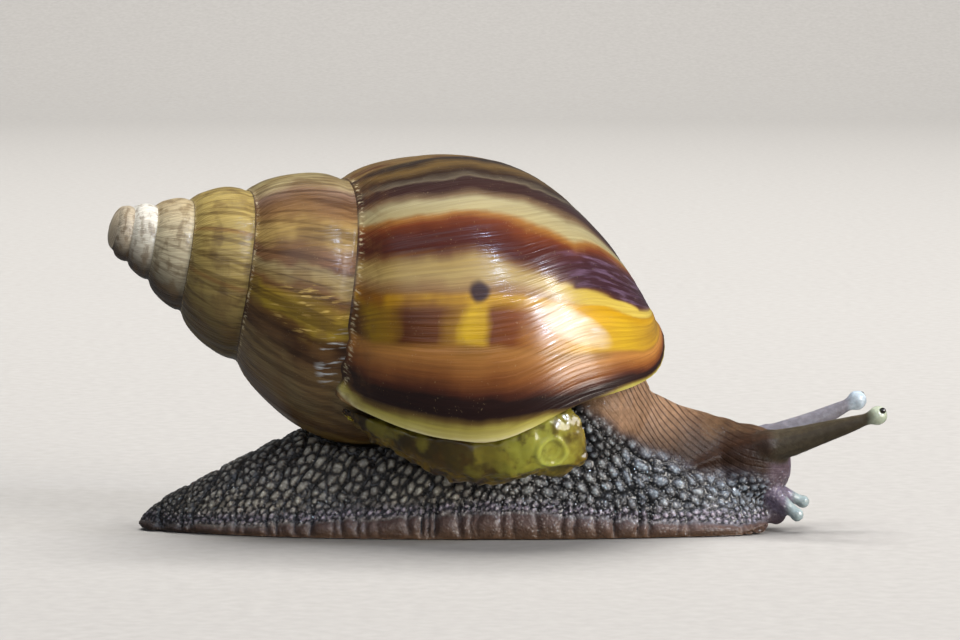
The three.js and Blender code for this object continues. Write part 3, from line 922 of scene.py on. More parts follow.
    def shape(self, shell: bpy.types.Object) -> None:
        """Swell the first whorls and let the lip sink a little from the suture."""
        places = positions(shell)
        marks = self.shares_of(shell)
        turns = self.turns_of(places, marks)
        start = self.outline[0][0] * MM
        levels = self.reference_turn + np.log(np.maximum(places[:, 2], 1e-5) / start) / math.log(self.growth)
        swell = 1 + self.apex_swell * np.exp(-((levels / self.apex_swell_turns) ** 2))
        places[:, 0] *= swell
        places[:, 1] *= swell
        spire = smooth_step(turns, *self.bulge_fade)
        swollen = 1 + self.bulge * spire * np.sin(math.pi * np.clip(marks / self.next_share, 0, 1))
        places[:, 0] *= swollen
        places[:, 1] *= swollen
        places[:, 2] -= np.interp(places[:, 2] / MM, *zip(*self.whorl_shifts)) * MM
        late = smooth_step(turns, self.first_lip_turn - self.lip_descent_turns, self.first_lip_turn)
        places[:, 2] += self.lip_descent * late * (1 - marks)
        set_positions(shell, places)

    def place(self, shell: bpy.types.Object) -> None:
        """Turn the shell to its axis and carry it to its place."""
        axis = Vector((math.cos(self.pitch) * math.cos(self.yaw),
                       math.cos(self.pitch) * math.sin(self.yaw), -math.sin(self.pitch)))
        right = Vector((math.sin(self.yaw), -math.cos(self.yaw), 0))
        up = right.cross(axis)
        turned = Matrix((up, right, axis)).transposed().to_4x4()
        shell.matrix_world = Matrix.Translation(self.origin) @ turned
        select_only(shell)
        bpy.ops.object.transform_apply(location=True, rotation=True, scale=True)

    def relieve(self, shell: bpy.types.Object) -> None:
        """Raise the growth ridges and the ribs of the middle whorls."""
        mesh = shell.data
        corner_vertex = np.empty(len(mesh.loops), dtype=np.int32)
        mesh.loops.foreach_get("vertex_index", corner_vertex)
        pairs = np.empty(len(mesh.loops) * 2, dtype=np.float32)
        mesh.uv_layers[Growth.STAGE.value].data.foreach_get("uv", pairs)
        lip_turns = np.zeros(len(mesh.vertices))
        lip_turns[corner_vertex] = pairs.reshape(-1, 2)[:, 1]
        heights = np.random.default_rng(self.seed).normal(0, 1, self.ridge_count)
        height = np.zeros(len(mesh.vertices))
        for (per_turn, tallest), row in zip(self.ridges, (heights, heights[::-1])):
            height += tallest * np.interp(lip_turns * per_turn, np.arange(self.ridge_count), row)
        scale = self.growth ** (np.clip(lip_turns, 1.5, 5.4) - self.reference_turn)
        middle = smooth_step(lip_turns, 4.3, 3.6) * smooth_step(lip_turns, 1.4, 2.2)
        height *= scale * (1 + self.ribbing * middle)
        set_positions(shell, positions(shell) + normals(shell) * height[:, None])


# ---- the skin

class SkinMask(Enum):
    """Values stored over the skin, from the relief to the parts of the body."""

    RELIEF = "relief"
    LOW = "low"
    EDGE = "edge"
    STRAND = "strand"
    NECK = "neck"
    ALONG = "along"
    RISE = "rise"
    FRINGE = "fringe"
    FACE = "face"
    ROOT = "root"
    FEELER = "feeler"
    BULB = "bulb"
    STALK = "stalk"
    SHADE = "shade"
    ROUGH = "rough"


@dataclass(frozen=True)
class SkinFinish:
    """Live snail skin, wet with slime: raised tubercles in a net of dark grooves.

    The slime gives small hard glints on every tubercle, and the thin skin lets light through
    at the feelers and along the foot's fringe.
    """

    roughness: float = 0.5
    ior: float = 1.4
    coat: float = 1.0
    coat_roughness: float = 0.05
    light_depth: float = 0.4 * MM
    # Sizes of the blotches, the pigment's grain, the pebbles on each tubercle and the satin of
    # the smooth skin.
    blotch_size: float = 4.348 * MM
    grain_size: float = 0.4167 * MM
    pebble_size: float = 0.26316 * MM
    satin_size: float = 0.15385 * MM
    # Body ramps run from the grooves (0) to the tubercle tops (1): the near-black grooves are partly the
    # skin's own colour and partly painted shade, the pale tops partly painted light.
    body: Stops = (
        (0.0, "08080b"), (0.25, "1f2024"), (0.5, "494c54"), (0.75, "69727c"), (1.0, "8c99a4"),
    )
    body_warm: Stops = (
        (0.0, "14110e"), (0.2, "342e28"), (0.5, "787266"), (0.8, "a4a194"), (1.0, "c6c4b8"),
    )
    # Lilac tubercles just above the fringe; their pale tops are partly painted glints.
    edge: Stops = ((0.0, "0e0c10"), (0.3, "2e2930"), (0.6, "746c7a"), (1.0, "b9b0be"))
    fringe: Stops = ((0.0, "563f2a"), (0.3, "544033"), (0.75, "584641"), (1.0, "4e4143"))
    face: Stops = ((0.0, "4a3c42"), (0.5, "5d5059"), (1.0, "6f6273"))

    def build(self) -> bpy.types.Material:
        """Make the material."""
        material, add, surface = new_material("wet_tubercled_skin")
        read = {mask: add("Attribute", output="Fac", attribute_name=mask.value) for mask in SkinMask}
        place = add("TexCoord", output="Object")
        blotch = add("TexNoise", {"Vector": place, "Scale": 1 / self.blotch_size, "Detail": 4.0})
        pebble = add("TexVoronoi", {"Vector": place, "Scale": 1 / self.pebble_size, "Smoothness": 0.4},
                     feature="SMOOTH_F1")
        pebble = add("MapRange", (pebble, 0.1, 0.75, 1.0, 0.0))
        strand = self.lines(add, read[SkinMask.STRAND], 0.23)
        colour = self.colour(add, read, place, blotch, pebble, strand)

        rough = read[SkinMask.ROUGH]
        lumps = overlap(add, pebble, add("Math", (rough, 0.6), operation="MULTIPLY"))
        satin = add("TexNoise", {"Vector": place, "Scale": 1 / self.satin_size, "Detail": 2.0})
        satin = overlap(add, satin, add("MapRange", (rough, 1.0, 0.3, 0.1, 0.35)))
        height = add("Math", (lumps, 0.4, satin), operation="MULTIPLY_ADD")
        strand_height = overlap(add, strand, read[SkinMask.NECK])
        height = add("Math", (strand_height, -0.2, height), operation="MULTIPLY_ADD")
        bump = add("Bump", {"Strength": 0.9, "Distance": 0.1 * MM, "Height": height})
        film = add("Bump", {"Strength": 1.0, "Distance": 0.22 * MM, "Height": lumps, "Normal": bump})
        wet = add("MapRange", (rough, 0.15, 0.9, 0.05, self.coat))
        feed(surface, {
            "Base Color": colour, "Roughness": self.roughness, "IOR": self.ior,
            "Specular IOR Level": add("MapRange", (read[SkinMask.NECK], 0.0, 1.0, 0.3, 0.1)),
            "Normal": bump, "Coat Normal": film, "Coat Roughness": self.coat_roughness,
            "Coat Weight": add("Math", (wet, read[SkinMask.BULB]), operation="MAXIMUM"),
            "Subsurface Weight": 0.15, "Subsurface Radius": (1.0, 0.6, 0.4),
            "Subsurface Scale": self.light_depth,
        })
        return material

    def colour(self, add: AddNode, read: dict[SkinMask, Socket], place: Socket, blotch: Socket,
               pebble: Socket, strand: Socket) -> Socket:
        """Colour every part of the body.

        Args:
            add: adds a node to the material.
            read: the values stored over the skin.
            place: place on the skin, in metres.
            blotch: soft blotches, from 0 to 1.
            pebble: the pebbles on the tubercles, from 0 to 1.
            strand: the neck's dark lines.

        Returns:
            The skin's colour.
        """
        x, y, z = add("SeparateXYZ", (place,)).node.outputs
        # Pebble tops lighten each tubercle a little more, partly as painted light.
        relief = overlap(add, read[SkinMask.RELIEF], add("MapRange", (pebble, 0.0, 0.8, 0.72, 1.0)))
        rear = add("Math", (add("MapRange", (x, 4 * MM, -4 * MM, 0.0, 0.8)),
                            add("MapRange", (blotch, 0.42, 0.62, -0.1, 0.25))), operation="ADD")
        dappled = overlap(add, relief, add("MapRange", (blotch, 0.36, 0.6, 0.72, 1.1)))
        body = layered(add, add("ValToRGB", (relief,), stops=self.body),
                       (rear, add("ValToRGB", (dappled,), stops=self.body_warm)),
                       (read[SkinMask.EDGE], add("ValToRGB", (relief,), stops=self.edge)))

        # Painted light: a pale tan patch on the neck just behind the shell's lip.
        painted_sunlit_patch = overlap(add, add("MapRange", (x, 15.5 * MM, 10.5 * MM, 0.0, 0.72)),
                            add("MapRange", (x, 4.5 * MM, 8.5 * MM)),
                            add("MapRange", (z, 5.5 * MM, 8.5 * MM)))
        neck = layered(add, "35271f",
                       (add("MapRange", (blotch, 0.38, 0.62)), "4f3c2b"),
                       (painted_sunlit_patch, "a08066"),
                       (overlap(add, strand, add("MapRange", (blotch, 0.6, 0.42, 0.1, 0.8))), "281911"),
                       (add("MapRange", (read[SkinMask.LOW], 0.3, 1.0, 0.0, 0.75)), "403c44"))

        rise = read[SkinMask.RISE]
        # Dark lines and darkened clefts on the fringe, partly painted shade in its furrows.
        cleft = self.lines(add, add("Math", (read[SkinMask.ALONG], 2.7), operation="MULTIPLY"), 0.3)
        fringe = layered(add, add("ValToRGB", (rise,), stops=self.fringe),
                         (overlap(add, cleft, add("MapRange", (rise, 0.4, 1.0, 0.0, 0.35))), "2f2220"),
                         (add("MapRange", (read[SkinMask.RELIEF], 0.5, 0.1)), "1d1512"))

        # Painted backlight: the far feeler and its bulb are paler and bluer than the near ones.
        far_backlight = add("MapRange", (y, 0.0, 1 * MM))
        # The feeler darkens at its root, partly as the feeler's painted shadow.
        feeler = layered(add, "2f281c", (blotch, "4a4234"), (read[SkinMask.ROOT], "33241a"),
                         (add("Math", (far_backlight, 0.7), operation="MULTIPLY"), "74727c"))
        low_down = add("MapRange", (z, 5.2 * MM, 4.2 * MM))
        tips = layered(add, "a7b09c", (far_backlight, "a9b6c0"), (low_down, "93a2a4"))
        grain = add("TexNoise", {"Vector": place, "Scale": 1 / self.grain_size, "Detail": 3.0})
        face = add("ValToRGB", (add("MapRange", (blotch, 0.3, 0.7)),), stops=self.face)
        return layered(
            add, body,
            (read[SkinMask.NECK], neck),
            (read[SkinMask.FRINGE], fringe),
            (read[SkinMask.FACE], face),
            # The dark band along the feeler's root is a fold, darkened partly as the feeler's painted shadow.
            (read[SkinMask.ROOT], "2a1b12"),
            (read[SkinMask.FEELER], feeler),
            (overlap(add, read[SkinMask.STALK], low_down), "6c6274"),
            (read[SkinMask.BULB], tips),
            (add("MapRange", (grain, 0.35, 0.7, 0.3, 0.0)), "5a4a3c", "MULTIPLY"),
            (read[SkinMask.SHADE], "2c221c", "MULTIPLY"),
        )

    def lines(self, add: AddNode, phase: Socket, width: float) -> Socket:
        """Thin dark lines, one at each whole value of a phase.

        Args:
            add: adds a node to the material.
            phase: the value that counts the lines.
            width: half width of a line, as a share of the spacing.

        Returns:
            1 on a line and 0 between.
        """
        part = add("Math", (phase,), operation="FRACT")
        near = add("Math", (add("Math", (part, 0.5), operation="SUBTRACT"),), operation="ABSOLUTE")
        return add("MapRange", (near, 0.5 - width, 0.5))


@dataclass(frozen=True)
class SkinMap:
    """Where each corner of the skin lies on the body, in millimetres."""

    x: np.ndarray
    y: np.ndarray
    z: np.ndarray
    sway: np.ndarray
    fine_sway: np.ndarray
    along: np.ndarray
    lobe: np.ndarray
    fringe_top: np.ndarray
    above: np.ndarray
    neck_height: np.ndarray
    slant: np.ndarray


@dataclass
class FleshSkin:
    """Tail, foot, neck, head, feelers and lips under one skin without a seam."""

    upper: tuple[str, ...] = ("right_upper_tentacle", "left_upper_tentacle")
    lower: tuple[str, ...] = ("right_lower_tentacle", "left_lower_tentacle")
    trunk: tuple[str, ...] = ("tail", "foot", "neck", "head")
    lips: tuple[str, ...] = ("right_lip", "left_lip")
    fattening: float = 0.2 * MM
    voxel: float = 0.15 * MM
    smoothing: int = 5
    seed: int = 11
    # How close tubercles may stand, as a share of the wanted distance.
    closeness: float = 0.82
    # Slant of the tubercle rows, in degrees above the ground, and how much they stretch along it.
    tail_slant: float = 56
    neck_slant: float = -32
    row_stretch: float = 0.32
    row_spacing: float = 1.25
    # Heights and depths of the relief, in millimetres; the tubercles' is a share of their spacing.
    tubercle_height: float = 0.22
    furrow_depth: float = 0.18
    furrow_width: float = 0.12
    cleft_depth: float = 0.22
    cleft_width: float = 0.11
    clefts_start: float = -26.0
    clefts_end: float = 22.0
    lobe_height: float = 0.3
    lobe_width: float = 0.3
    root_height: float = 0.28
    # Sizes of the swells that make rows and edges wander.
    sway_size: float = 2.2 * MM
    fine_sway_size: float = 0.7 * MM
    # Distance between tubercles along X, in millimetres.
    spacing_line: tuple[tuple[float, float], ...] = (
        (-25, 0.3), (-21, 0.38), (-15, 0.58), (-8, 0.64), (0, 0.6), (5, 0.72), (9, 0.95), (12, 0.92),
        (14, 0.7), (18, 0.42),
    )
    least_spacing: float = 0.3
    # Height of the fringe's upper edge along X, in millimetres.
    fringe_line: tuple[tuple[float, float], ...] = (
        (-25, 0.5), (-21, 0.55), (-14, 0.95), (-7, 1.5), (-1, 1.85), (4, 1.7), (9, 1.3), (14, 0.95),
        (19, 0.7),
    )
    # Height above which the neck is smooth, along X, in millimetres.
    neck_line: tuple[tuple[float, float], ...] = (
        (5.5, 9.4), (8.0, 7.7), (9.8, 6.4), (14.0, 4.4), (18.2, 4.0), (20, 4.2),
    )
    # Height and width of the feeler's root on the head, along X, in millimetres.
    root_line: tuple[tuple[float, float, float], ...] = ((12.6, 4.6, 0.15), (15, 5.35, 0.5), (18.2, 6.3, 1.0))
    # Height and slope in degrees of the neck's first dark line, along X, in millimetres.
    strand_line: tuple[tuple[float, float], ...] = (
        (7, 2.2), (8.5, 0.3), (9.5, -1.3), (11, -2.8), (13, -4.2), (16, -5.6), (18.5, -6.4),
    )
    strand_slopes: tuple[tuple[float, float], ...] = ((8, 50), (9.5, 46), (13, 33), (17, 25))
    strand_spacing: float = 0.43

    @property
    def nodes(self) -> tuple[str, ...]:
        """The frame nodes that the skin stands for."""
        return self.trunk + self.upper + self.lower + self.lips

    def build(self) -> bpy.types.Object:
        """Model the skin.

        Returns:
            The finished skin.
        """
        copies = []
        for node_name in self.nodes:
            copy = merged_copy(node_name, "skin_" + node_name)
            with editing(copy):
                bpy.ops.mesh.select_all(action="SELECT")
                bpy.ops.transform.shrink_fatten(value=self.fattening)
            copies.append(copy)
        bpy.ops.object.select_all(action="DESELECT")
        for copy in copies:
            copy.select_set(True)
        bpy.context.view_layer.objects.active = copies[0]
        bpy.ops.object.join()
        skin = bpy.context.active_object
        skin.name = "snail_skin"
        apply_modifier(skin, "REMESH", mode="VOXEL", voxel_size=self.voxel)
        with editing(skin):
            bpy.ops.mesh.select_all(action="SELECT")
            bpy.ops.transform.shrink_fatten(value=-self.fattening)
        apply_modifier(skin, "SMOOTH", factor=0.5, iterations=self.smoothing)
        self.relieve(skin)
        select_only(skin)
        bpy.ops.object.shade_smooth()
        return skin

    def near(self, places: np.ndarray, names: Sequence[str], inner: float, outer: float) -> np.ndarray:
        """Mask of the corners close to some frame nodes.

        Args:
            places: corner places.
            names: the nodes.
            inner: distance at which the mask is whole.
            outer: distance at which it ends.

        Returns:
            The mask, from 0 to 1.
        """
        graph = bpy.context.evaluated_depsgraph_get()
        mask = np.zeros(len(places))
        for name in names:
            tree = BVHTree.FromObject(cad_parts[name], graph)
            low, high = (np.array(corner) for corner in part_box(name))
            close = np.all((places > low - outer) & (places < high + outer), axis=1)
            for index in np.flatnonzero(close):
                distance = tree.find_nearest(Vector(places[index]))[3]
                value = 1 - float(smooth_step(distance, inner, outer))
                mask[index] = max(mask[index], value)
        return mask

    def cells(self, places: np.ndarray, spacing: np.ndarray) -> tuple[np.ndarray, np.ndarray]:
        """Scatter tubercles at a spacing that varies over the skin.

        Args:
            places: corner places.
            spacing: wanted distance between tubercles at each corner.

        Returns:
            Distance to the nearest tubercle, and the gap to the second nearest, both over spacing.
        """
        order = list(range(len(places)))
        random.Random(self.seed).shuffle(order)
        grid: dict[tuple[int, int, int], list[np.ndarray]] = {}
        seeds: list[int] = []
        keys = np.floor(places / float(spacing.max())).astype(int)
        for index in order:
            key = tuple(keys[index])
            if self.is_free(grid, key, places[index], (spacing[index] * self.closeness) ** 2):
                grid.setdefault(key, []).append(places[index])
                seeds.append(index)
        tree = kdtree.KDTree(len(seeds))
        for place, index in enumerate(seeds):
            tree.insert(places[index], place)
        tree.balance()
        first = np.empty(len(places))
        second = np.empty(len(places))
        for index, point in enumerate(places):
            found = tree.find_n(point, 2)
            first[index] = found[0][2]
            second[index] = found[1][2]
        LOG.info("tubercles: %d", len(seeds))
        return first / spacing, (second - first) / spacing

    def is_free(self, grid: dict[tuple[int, int, int], list[np.ndarray]], key: tuple[int, int, int],
                point: np.ndarray, reach: float) -> bool:
        """Tell whether a place is free of tubercles.

        Args:
            grid: the tubercles so far, sorted into cubes.
            key: the cube that the place is in.
            point: the place.
            reach: square of the distance to keep.

        Returns:
            True where no tubercle is nearer.
        """
        for step in AROUND:
            for other in grid.get((key[0] + step[0], key[1] + step[1], key[2] + step[2]), ()):
                gap = other - point
                if gap[0] * gap[0] + gap[1] * gap[1] + gap[2] * gap[2] < reach:
                    return False
        return True

    def rows(self, on: SkinMap) -> np.ndarray:
        """Slanting furrows between the rows of tubercles.

        Args:
            on: where the corners lie.

        Returns:
            1 in a furrow and 0 between.
        """
        phase = (on.x * np.sin(on.slant) - on.z * np.cos(on.slant)) / self.row_spacing + 0.4 * on.sway
        return np.exp(-(((phase - np.round(phase)) * self.row_spacing / self.furrow_width) ** 2))

    def clefts(self, along: np.ndarray, width: float) -> np.ndarray:
        """Upright furrows of the fringe, at uneven steps.

        Args:
            along: distance along the foot's edge, in millimetres.
            width: half width of a furrow, in millimetres.

        Returns:
            1 in a furrow and 0 between.
        """
        rng = random.Random(self.seed)
        at = self.clefts_start
        deep = np.zeros(len(along))
        while at < self.clefts_end:
            deep = np.maximum(deep, rng.uniform(0.3, 1.0) * np.exp(-(((along - at) / width) ** 2)))
            at += rng.choice((0.5, 0.8, 1.1, 1.5, 1.9)) * rng.uniform(0.8, 1.2)
        return deep

    def survey(self, places: np.ndarray) -> SkinMap:
        """Find where each corner lies on the body.

        Args:
            places: corner places.

        Returns:
            The corners' places, the fringe's edge and the neck's edge.
        """
        x, y, z = (places / MM).T
        sway = drift(places, self.sway_size)
        fine_sway = drift(places, self.fine_sway_size)
        # The clefts fan out round the front of the foot.
        along = x - 0.7 * np.abs(y) * smooth_step(x, 13, 18) + 0.35 * sway + 0.18 * fine_sway
        lobe = self.clefts(along, self.lobe_width)
        wander = 0.12 * fine_sway + 0.2 * sway + 0.22 * (0.6 - lobe)
        fringe_top = np.interp(x, *zip(*self.fringe_line)) + wander
        return SkinMap(
            x=x, y=y, z=z, sway=sway, fine_sway=fine_sway, along=along, lobe=lobe, fringe_top=fringe_top,
            above=np.clip((z - fringe_top) / 1.9, 0, 1),
            neck_height=np.interp(x, *zip(*self.neck_line)) + 0.35 * sway,
            slant=np.radians(np.interp(x, (0, 9), (self.tail_slant, self.neck_slant))),
        )

    def regions(self, places: np.ndarray, on: SkinMap) -> dict[SkinMask, np.ndarray]:
        """Tell the parts of the body apart.

        Args:
            places: corner places.
            on: where the corners lie.

        Returns:
            A mask for each part.
        """
        feeler = self.near(places, self.upper, 0.15 * MM, 0.6 * MM)
        bulb = np.zeros(len(places))
        for name in self.upper + self.lower:
            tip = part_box(name)[1][0] / MM
            length = 1.55 if name in self.upper else 1.5
            mask = self.near(places, (name,), 0.05 * MM, 0.3 * MM)
            bulb = np.maximum(bulb, mask * smooth_step(on.x, tip - length, tip - length * 0.6))
        neck = smooth_step(on.x, 4.6, 5.6) * smooth_step(on.z, on.neck_height - 0.9, on.neck_height + 0.6)
        root_x, root_heights, root_widths = zip(*self.root_line)
        root = (on.z - np.interp(on.x, root_x, root_heights)) / np.interp(on.x, root_x, root_widths)
        root_ends = smooth_step(on.x, 12.4, 14) * (1 - smooth_step(on.x, 18.6, 19.4))
        shaded = smooth_step(on.z, 4.6, 7.2) * (1 - smooth_step(on.x, 4.0, 6.5)) * smooth_step(on.x, -15, -10)
        return {
            SkinMask.FEELER: feeler,
            SkinMask.BULB: bulb,
            SkinMask.NECK: neck * (1 - bulb) * (1 - feeler),
            SkinMask.FRINGE: 1 - smooth_step(on.z, on.fringe_top - 0.32, on.fringe_top + 0.28),
            SkinMask.FACE: smooth_step(on.x, 18.2, 19.4) * (1 - smooth_step(on.z, 4.8, 5.8)),
            SkinMask.ROOT: np.exp(-(root ** 2)) * root_ends * smooth_step(np.abs(on.y), 0.5, 1.5),
            SkinMask.STALK: self.near(places, self.lower, 0.15 * MM, 0.6 * MM),
            SkinMask.SHADE: np.maximum(shaded, 0.7 * smooth_step(on.x, -17.5, -23.5)),
        }

    def tubercles(self, places: np.ndarray, on: SkinMap, spacing: np.ndarray) -> np.ndarray:
        """Shape the tubercles, drawn out along their slanting rows.

        Args:
            places: corner places.
            on: where the corners lie.
            spacing: distance between tubercles at each corner, in millimetres.

        Returns:
            1 on the top of a tubercle and 0 in the groove round it.
        """
        run = on.x * np.cos(on.slant) + on.z * np.sin(on.slant)
        squeezed = places.copy()
        squeezed[:, 0] -= run * np.cos(on.slant) * self.row_stretch * MM
        squeezed[:, 2] -= run * np.sin(on.slant) * self.row_stretch * MM
        near_tubercle, border = self.cells(squeezed, spacing * MM)
        return smooth_step(border, 0.0, 0.58) * (0.4 + 0.6 * np.clip(1.15 - near_tubercle, 0, 1))

    def relieve(self, skin: bpy.types.Object) -> None:
        """Raise the tubercles, cut the grooves and store the masks that colour them."""
        places = positions(skin)
        on = self.survey(places)
        masks = self.regions(places, on)
        neck, fringe, face = (masks[mask] for mask in (SkinMask.NECK, SkinMask.FRINGE, SkinMask.FACE))
        feeler, bulb, root = (masks[mask] for mask in (SkinMask.FEELER, SkinMask.BULB, SkinMask.ROOT))
        spacing = np.interp(on.x, *zip(*self.spacing_line))
        spacing = self.least_spacing + (spacing - self.least_spacing) * on.above
        dome = self.tubercles(places, on, spacing)
        furrow = self.rows(on) * on.above * (1 - smooth_step(on.x, 12, 14))
        cleft = self.clefts(on.along, self.cleft_width) * smooth_step(on.z, 0, 0.7)
        cleft *= 1 - smooth_step(on.z, on.fringe_top + 0.7, on.fringe_top + 2.6)
        plain = np.clip(feeler + neck + bulb + fringe, 0, 1)
        rise = np.clip(on.z / np.maximum(on.fringe_top, 0.2), 0, 1)
        round_edge = fringe * (1 - face) * smooth_step(on.z, 0, 0.25) * (1 - on.lobe)

        height = dome * spacing * self.tubercle_height * (1 - plain)
        height -= self.furrow_depth * furrow * (1 - plain)
        height -= self.cleft_depth * cleft * (1 - neck) * (1 - face)
        height += self.lobe_height * round_edge * np.sin(np.pi * rise)
        height *= 1 - 0.9 * face
        height += 0.05 * on.sway + 0.02 * on.fine_sway * (1 - plain)
        height += self.root_height * root
        height = np.where(on.z < 0.1, 0, height)
        moved = places + normals(skin) * (height * MM)[:, None]
        moved[:, 2] = np.maximum(moved[:, 2], 0)
        set_positions(skin, moved)

        relief = np.clip(dome * (1 - 0.95 * furrow) * (1 - 0.9 * cleft), 0, 1)
        strand = on.z - np.interp(on.x, *zip(*self.strand_line))
        strand *= np.cos(np.radians(np.interp(on.x, *zip(*self.strand_slopes)))) / self.strand_spacing
        masks |= {
            SkinMask.RELIEF: np.where(fringe > 0.5, 1 - cleft, relief),
            SkinMask.LOW: 1 - smooth_step(on.z, on.neck_height - 0.6, on.neck_height + 1.6),
            SkinMask.EDGE: np.exp(-(((on.z - on.fringe_top - 0.35) / 0.45) ** 2)) * (1 - fringe),
            SkinMask.STRAND: strand + 0.5 * on.sway,
            SkinMask.ALONG: on.along,
            SkinMask.RISE: rise,
            SkinMask.ROOT: np.clip(root * 1.1, 0, 1),
            SkinMask.ROUGH: np.clip(1 - 0.9 * feeler - 0.8 * neck - 0.55 * fringe - bulb, 0.02, 1),
        }
        for mask, values in masks.items():
            store(skin, mask.value, values)


# ---- the mantle edge

@dataclass(frozen=True)
class MantleFinish:
    """Mantle edge: clear wet tissue, green-yellow, that glows where light goes through."""

    roughness: float = 0.3
    ior: float = 1.38
    coat: float = 0.6
    coat_roughness: float = 0.06
    light_depth: float = 1.2 * MM
    blotch_size: float = 2.381 * MM
    spot_size: float = 1.1111 * MM
    # Colours from the hidden rear of the edge to the breathing pore in front; the dark rear under
    # the shell is partly painted shade.
    tints: Stops = (
        (0.0, "241a0a"), (0.35, "3c2f0f"), (0.58, "4e4217"), (0.75, "7d7c2a"), (0.9, "8f8f38"),
        (1.0, "6b5c1e"),
    )

    def build(self) -> bpy.types.Material:
        """Make the material."""
        material, add, surface = new_material("wet_mantle_tissue")
        place = add("TexCoord", output="Object")
        blotch = add("TexNoise", {"Vector": place, "Scale": 1 / self.blotch_size, "Detail": 4.0})
        spots = add("TexNoise", {"Vector": place, "Scale": 1 / self.spot_size, "Detail": 3.0})
        x = add("SeparateXYZ", (place,))
        shifted = add("Math", (blotch, 4 * MM, x), operation="MULTIPLY_ADD")
        tint = add("MapRange", (shifted, -9 * MM, 9 * MM))
        ring = add("Attribute", output="Fac", attribute_name="ring")
        rim = add("Attribute", output="Fac", attribute_name="rim")
        stain = layered(add, "2c1a10", (add("MapRange", (spots, 0.42, 0.58)), "6f5a14"))
        colour = layered(
            add, add("ValToRGB", (tint,), stops=self.tints),
            (add("MapRange", (spots, 0.5, 0.66, 0.0, 0.7)), "44300f"),
            (add("MapRange", (blotch, 0.52, 0.38, 0.0, 0.4)), "948c2c"),
            (add("Math", (rim, 0.8), operation="MULTIPLY"), stain),
            (add("Math", (ring, 0.35), operation="MULTIPLY"), "a7b05a"),
        )
        bump = add("Bump", {"Strength": 0.6, "Distance": 0.2 * MM, "Height": blotch})
        feed(surface, {
            "Base Color": colour, "Roughness": self.roughness, "IOR": self.ior, "Normal": bump,
            "Coat Normal": bump, "Coat Weight": self.coat, "Coat Roughness": self.coat_roughness,
            "Subsurface Weight": 0.6, "Subsurface Radius": (1.0, 0.8, 0.3),
            "Subsurface Scale": self.light_depth,
        })
        return material


@dataclass
class MantleEdge:
    """The soft collar of the mantle that fills the shell's opening."""

    voxel: float = 0.16 * MM
    smoothing: int = 8
    lump_size: float = 1.3 * MM
    small_lump_size: float = 0.5 * MM
    # Width of the columns in which the lower edge is looked for, in millimetres.
    column: float = 0.25
    pore: Vector = field(default_factory=lambda: Vector((3.47, -10.91, 6.75)) * MM)
    pore_radius: float = 1.0 * MM

    def build(self) -> bpy.types.Object:
        """Model the mantle edge.

        Returns:
            The finished piece.
        """
        mantle = merged_copy("mantle_collar", "mantle_edge")
        apply_modifier(mantle, "REMESH", mode="VOXEL", voxel_size=self.voxel)
        apply_modifier(mantle, "SMOOTH", factor=0.5, iterations=self.smoothing)
        places = positions(mantle)
        far = np.linalg.norm(places - np.array(self.pore), axis=1)
        ring = np.exp(-(((far - self.pore_radius) / (0.2 * MM)) ** 2))
        inner = 0.5 * np.exp(-(((far - 0.5 * self.pore_radius) / (0.14 * MM)) ** 2))
        lumps = drift(places, self.lump_size)
        small = drift(places, self.small_lump_size)
        pit = np.exp(-((far / (0.75 * self.pore_radius)) ** 2))
        x, _, z = (places / MM).T
        bins = np.round(x / self.column).astype(int)
        lowest = {place: z[bins == place].min() for place in np.unique(bins)}
        rim = 1 - smooth_step(z - np.array([lowest[place] for place in bins]), 0.2, 1.3)
        height = 0.2 * ring + 0.16 * inner - 0.22 * pit
        height += lumps * (0.16 + 0.3 * rim) + small * (0.06 + 0.14 * rim)
        places += normals(mantle) * (height * MM)[:, None]
        places[:, 2] += 0.4 * MM * rim * smooth_step(x, -6, -2)
        places[:, 0] += MM * smooth_step(x, 3, 6) * (0.4 - 1.3 * np.clip((z - 5) / 5, 0, 1))
        set_positions(mantle, places)
        store(mantle, "ring", np.clip(ring + inner, 0, 1))
        store(mantle, "rim", rim)
        select_only(mantle)
        bpy.ops.object.shade_smooth()
        return mantle


# ---- the eyes

@dataclass(frozen=True)
class EyeFinish:
    """Black eye pigment under a clear wet film, which gives one small hard glint."""

    roughness: float = 0.25
    coat: float = 1.0
    coat_roughness: float = 0.04
    grain_size: float = 0.11111 * MM

    def build(self) -> bpy.types.Material:
        """Make the material."""
        material, add, surface = new_material("black_eye_pigment")
        place = add("TexCoord", output="Object")
        grain = add("TexNoise", {"Vector": place, "Scale": 1 / self.grain_size, "Detail": 2.0})
        feed(surface, {
            "Base Color": add("ValToRGB", (grain,), stops=((0.3, "0b0908"), (0.8, "241d1a"))),
            "Roughness": self.roughness, "Coat Weight": self.coat, "Coat Roughness": self.coat_roughness,
        })
        return material


@dataclass
class Eye:
    """One eye: a dark bead with a slightly raised clear front."""

    node_name: str
    bulge: float = 1.12
    bulge_from: float = 0.4
    segments: int = 24
    rings: int = 16

    def build(self) -> bpy.types.Object:
        """Model the eye at its node's place.

        Returns:
            The finished eye.
        """
        low, high = (Vector(corner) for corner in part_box(self.node_name))
        centre = (low + high) / 2
        radius = max(high - low) / 2
        bpy.ops.object.select_all(action="DESELECT")
        bpy.ops.mesh.primitive_uv_sphere_add(segments=self.segments, ring_count=self.rings,
                                             radius=radius, location=centre)
        eye = bpy.context.active_object
        eye.name = self.node_name + "_bead"
        bpy.ops.object.transform_apply(location=True, rotation=True, scale=True)
        select_where(eye, positions(eye)[:, 0] > centre.x + radius * self.bulge_from)
        with editing(eye):
            bpy.ops.transform.resize(value=(self.bulge, 1, 1), center_override=centre)
        select_only(eye)
        bpy.ops.object.shade_smooth()
        return eye


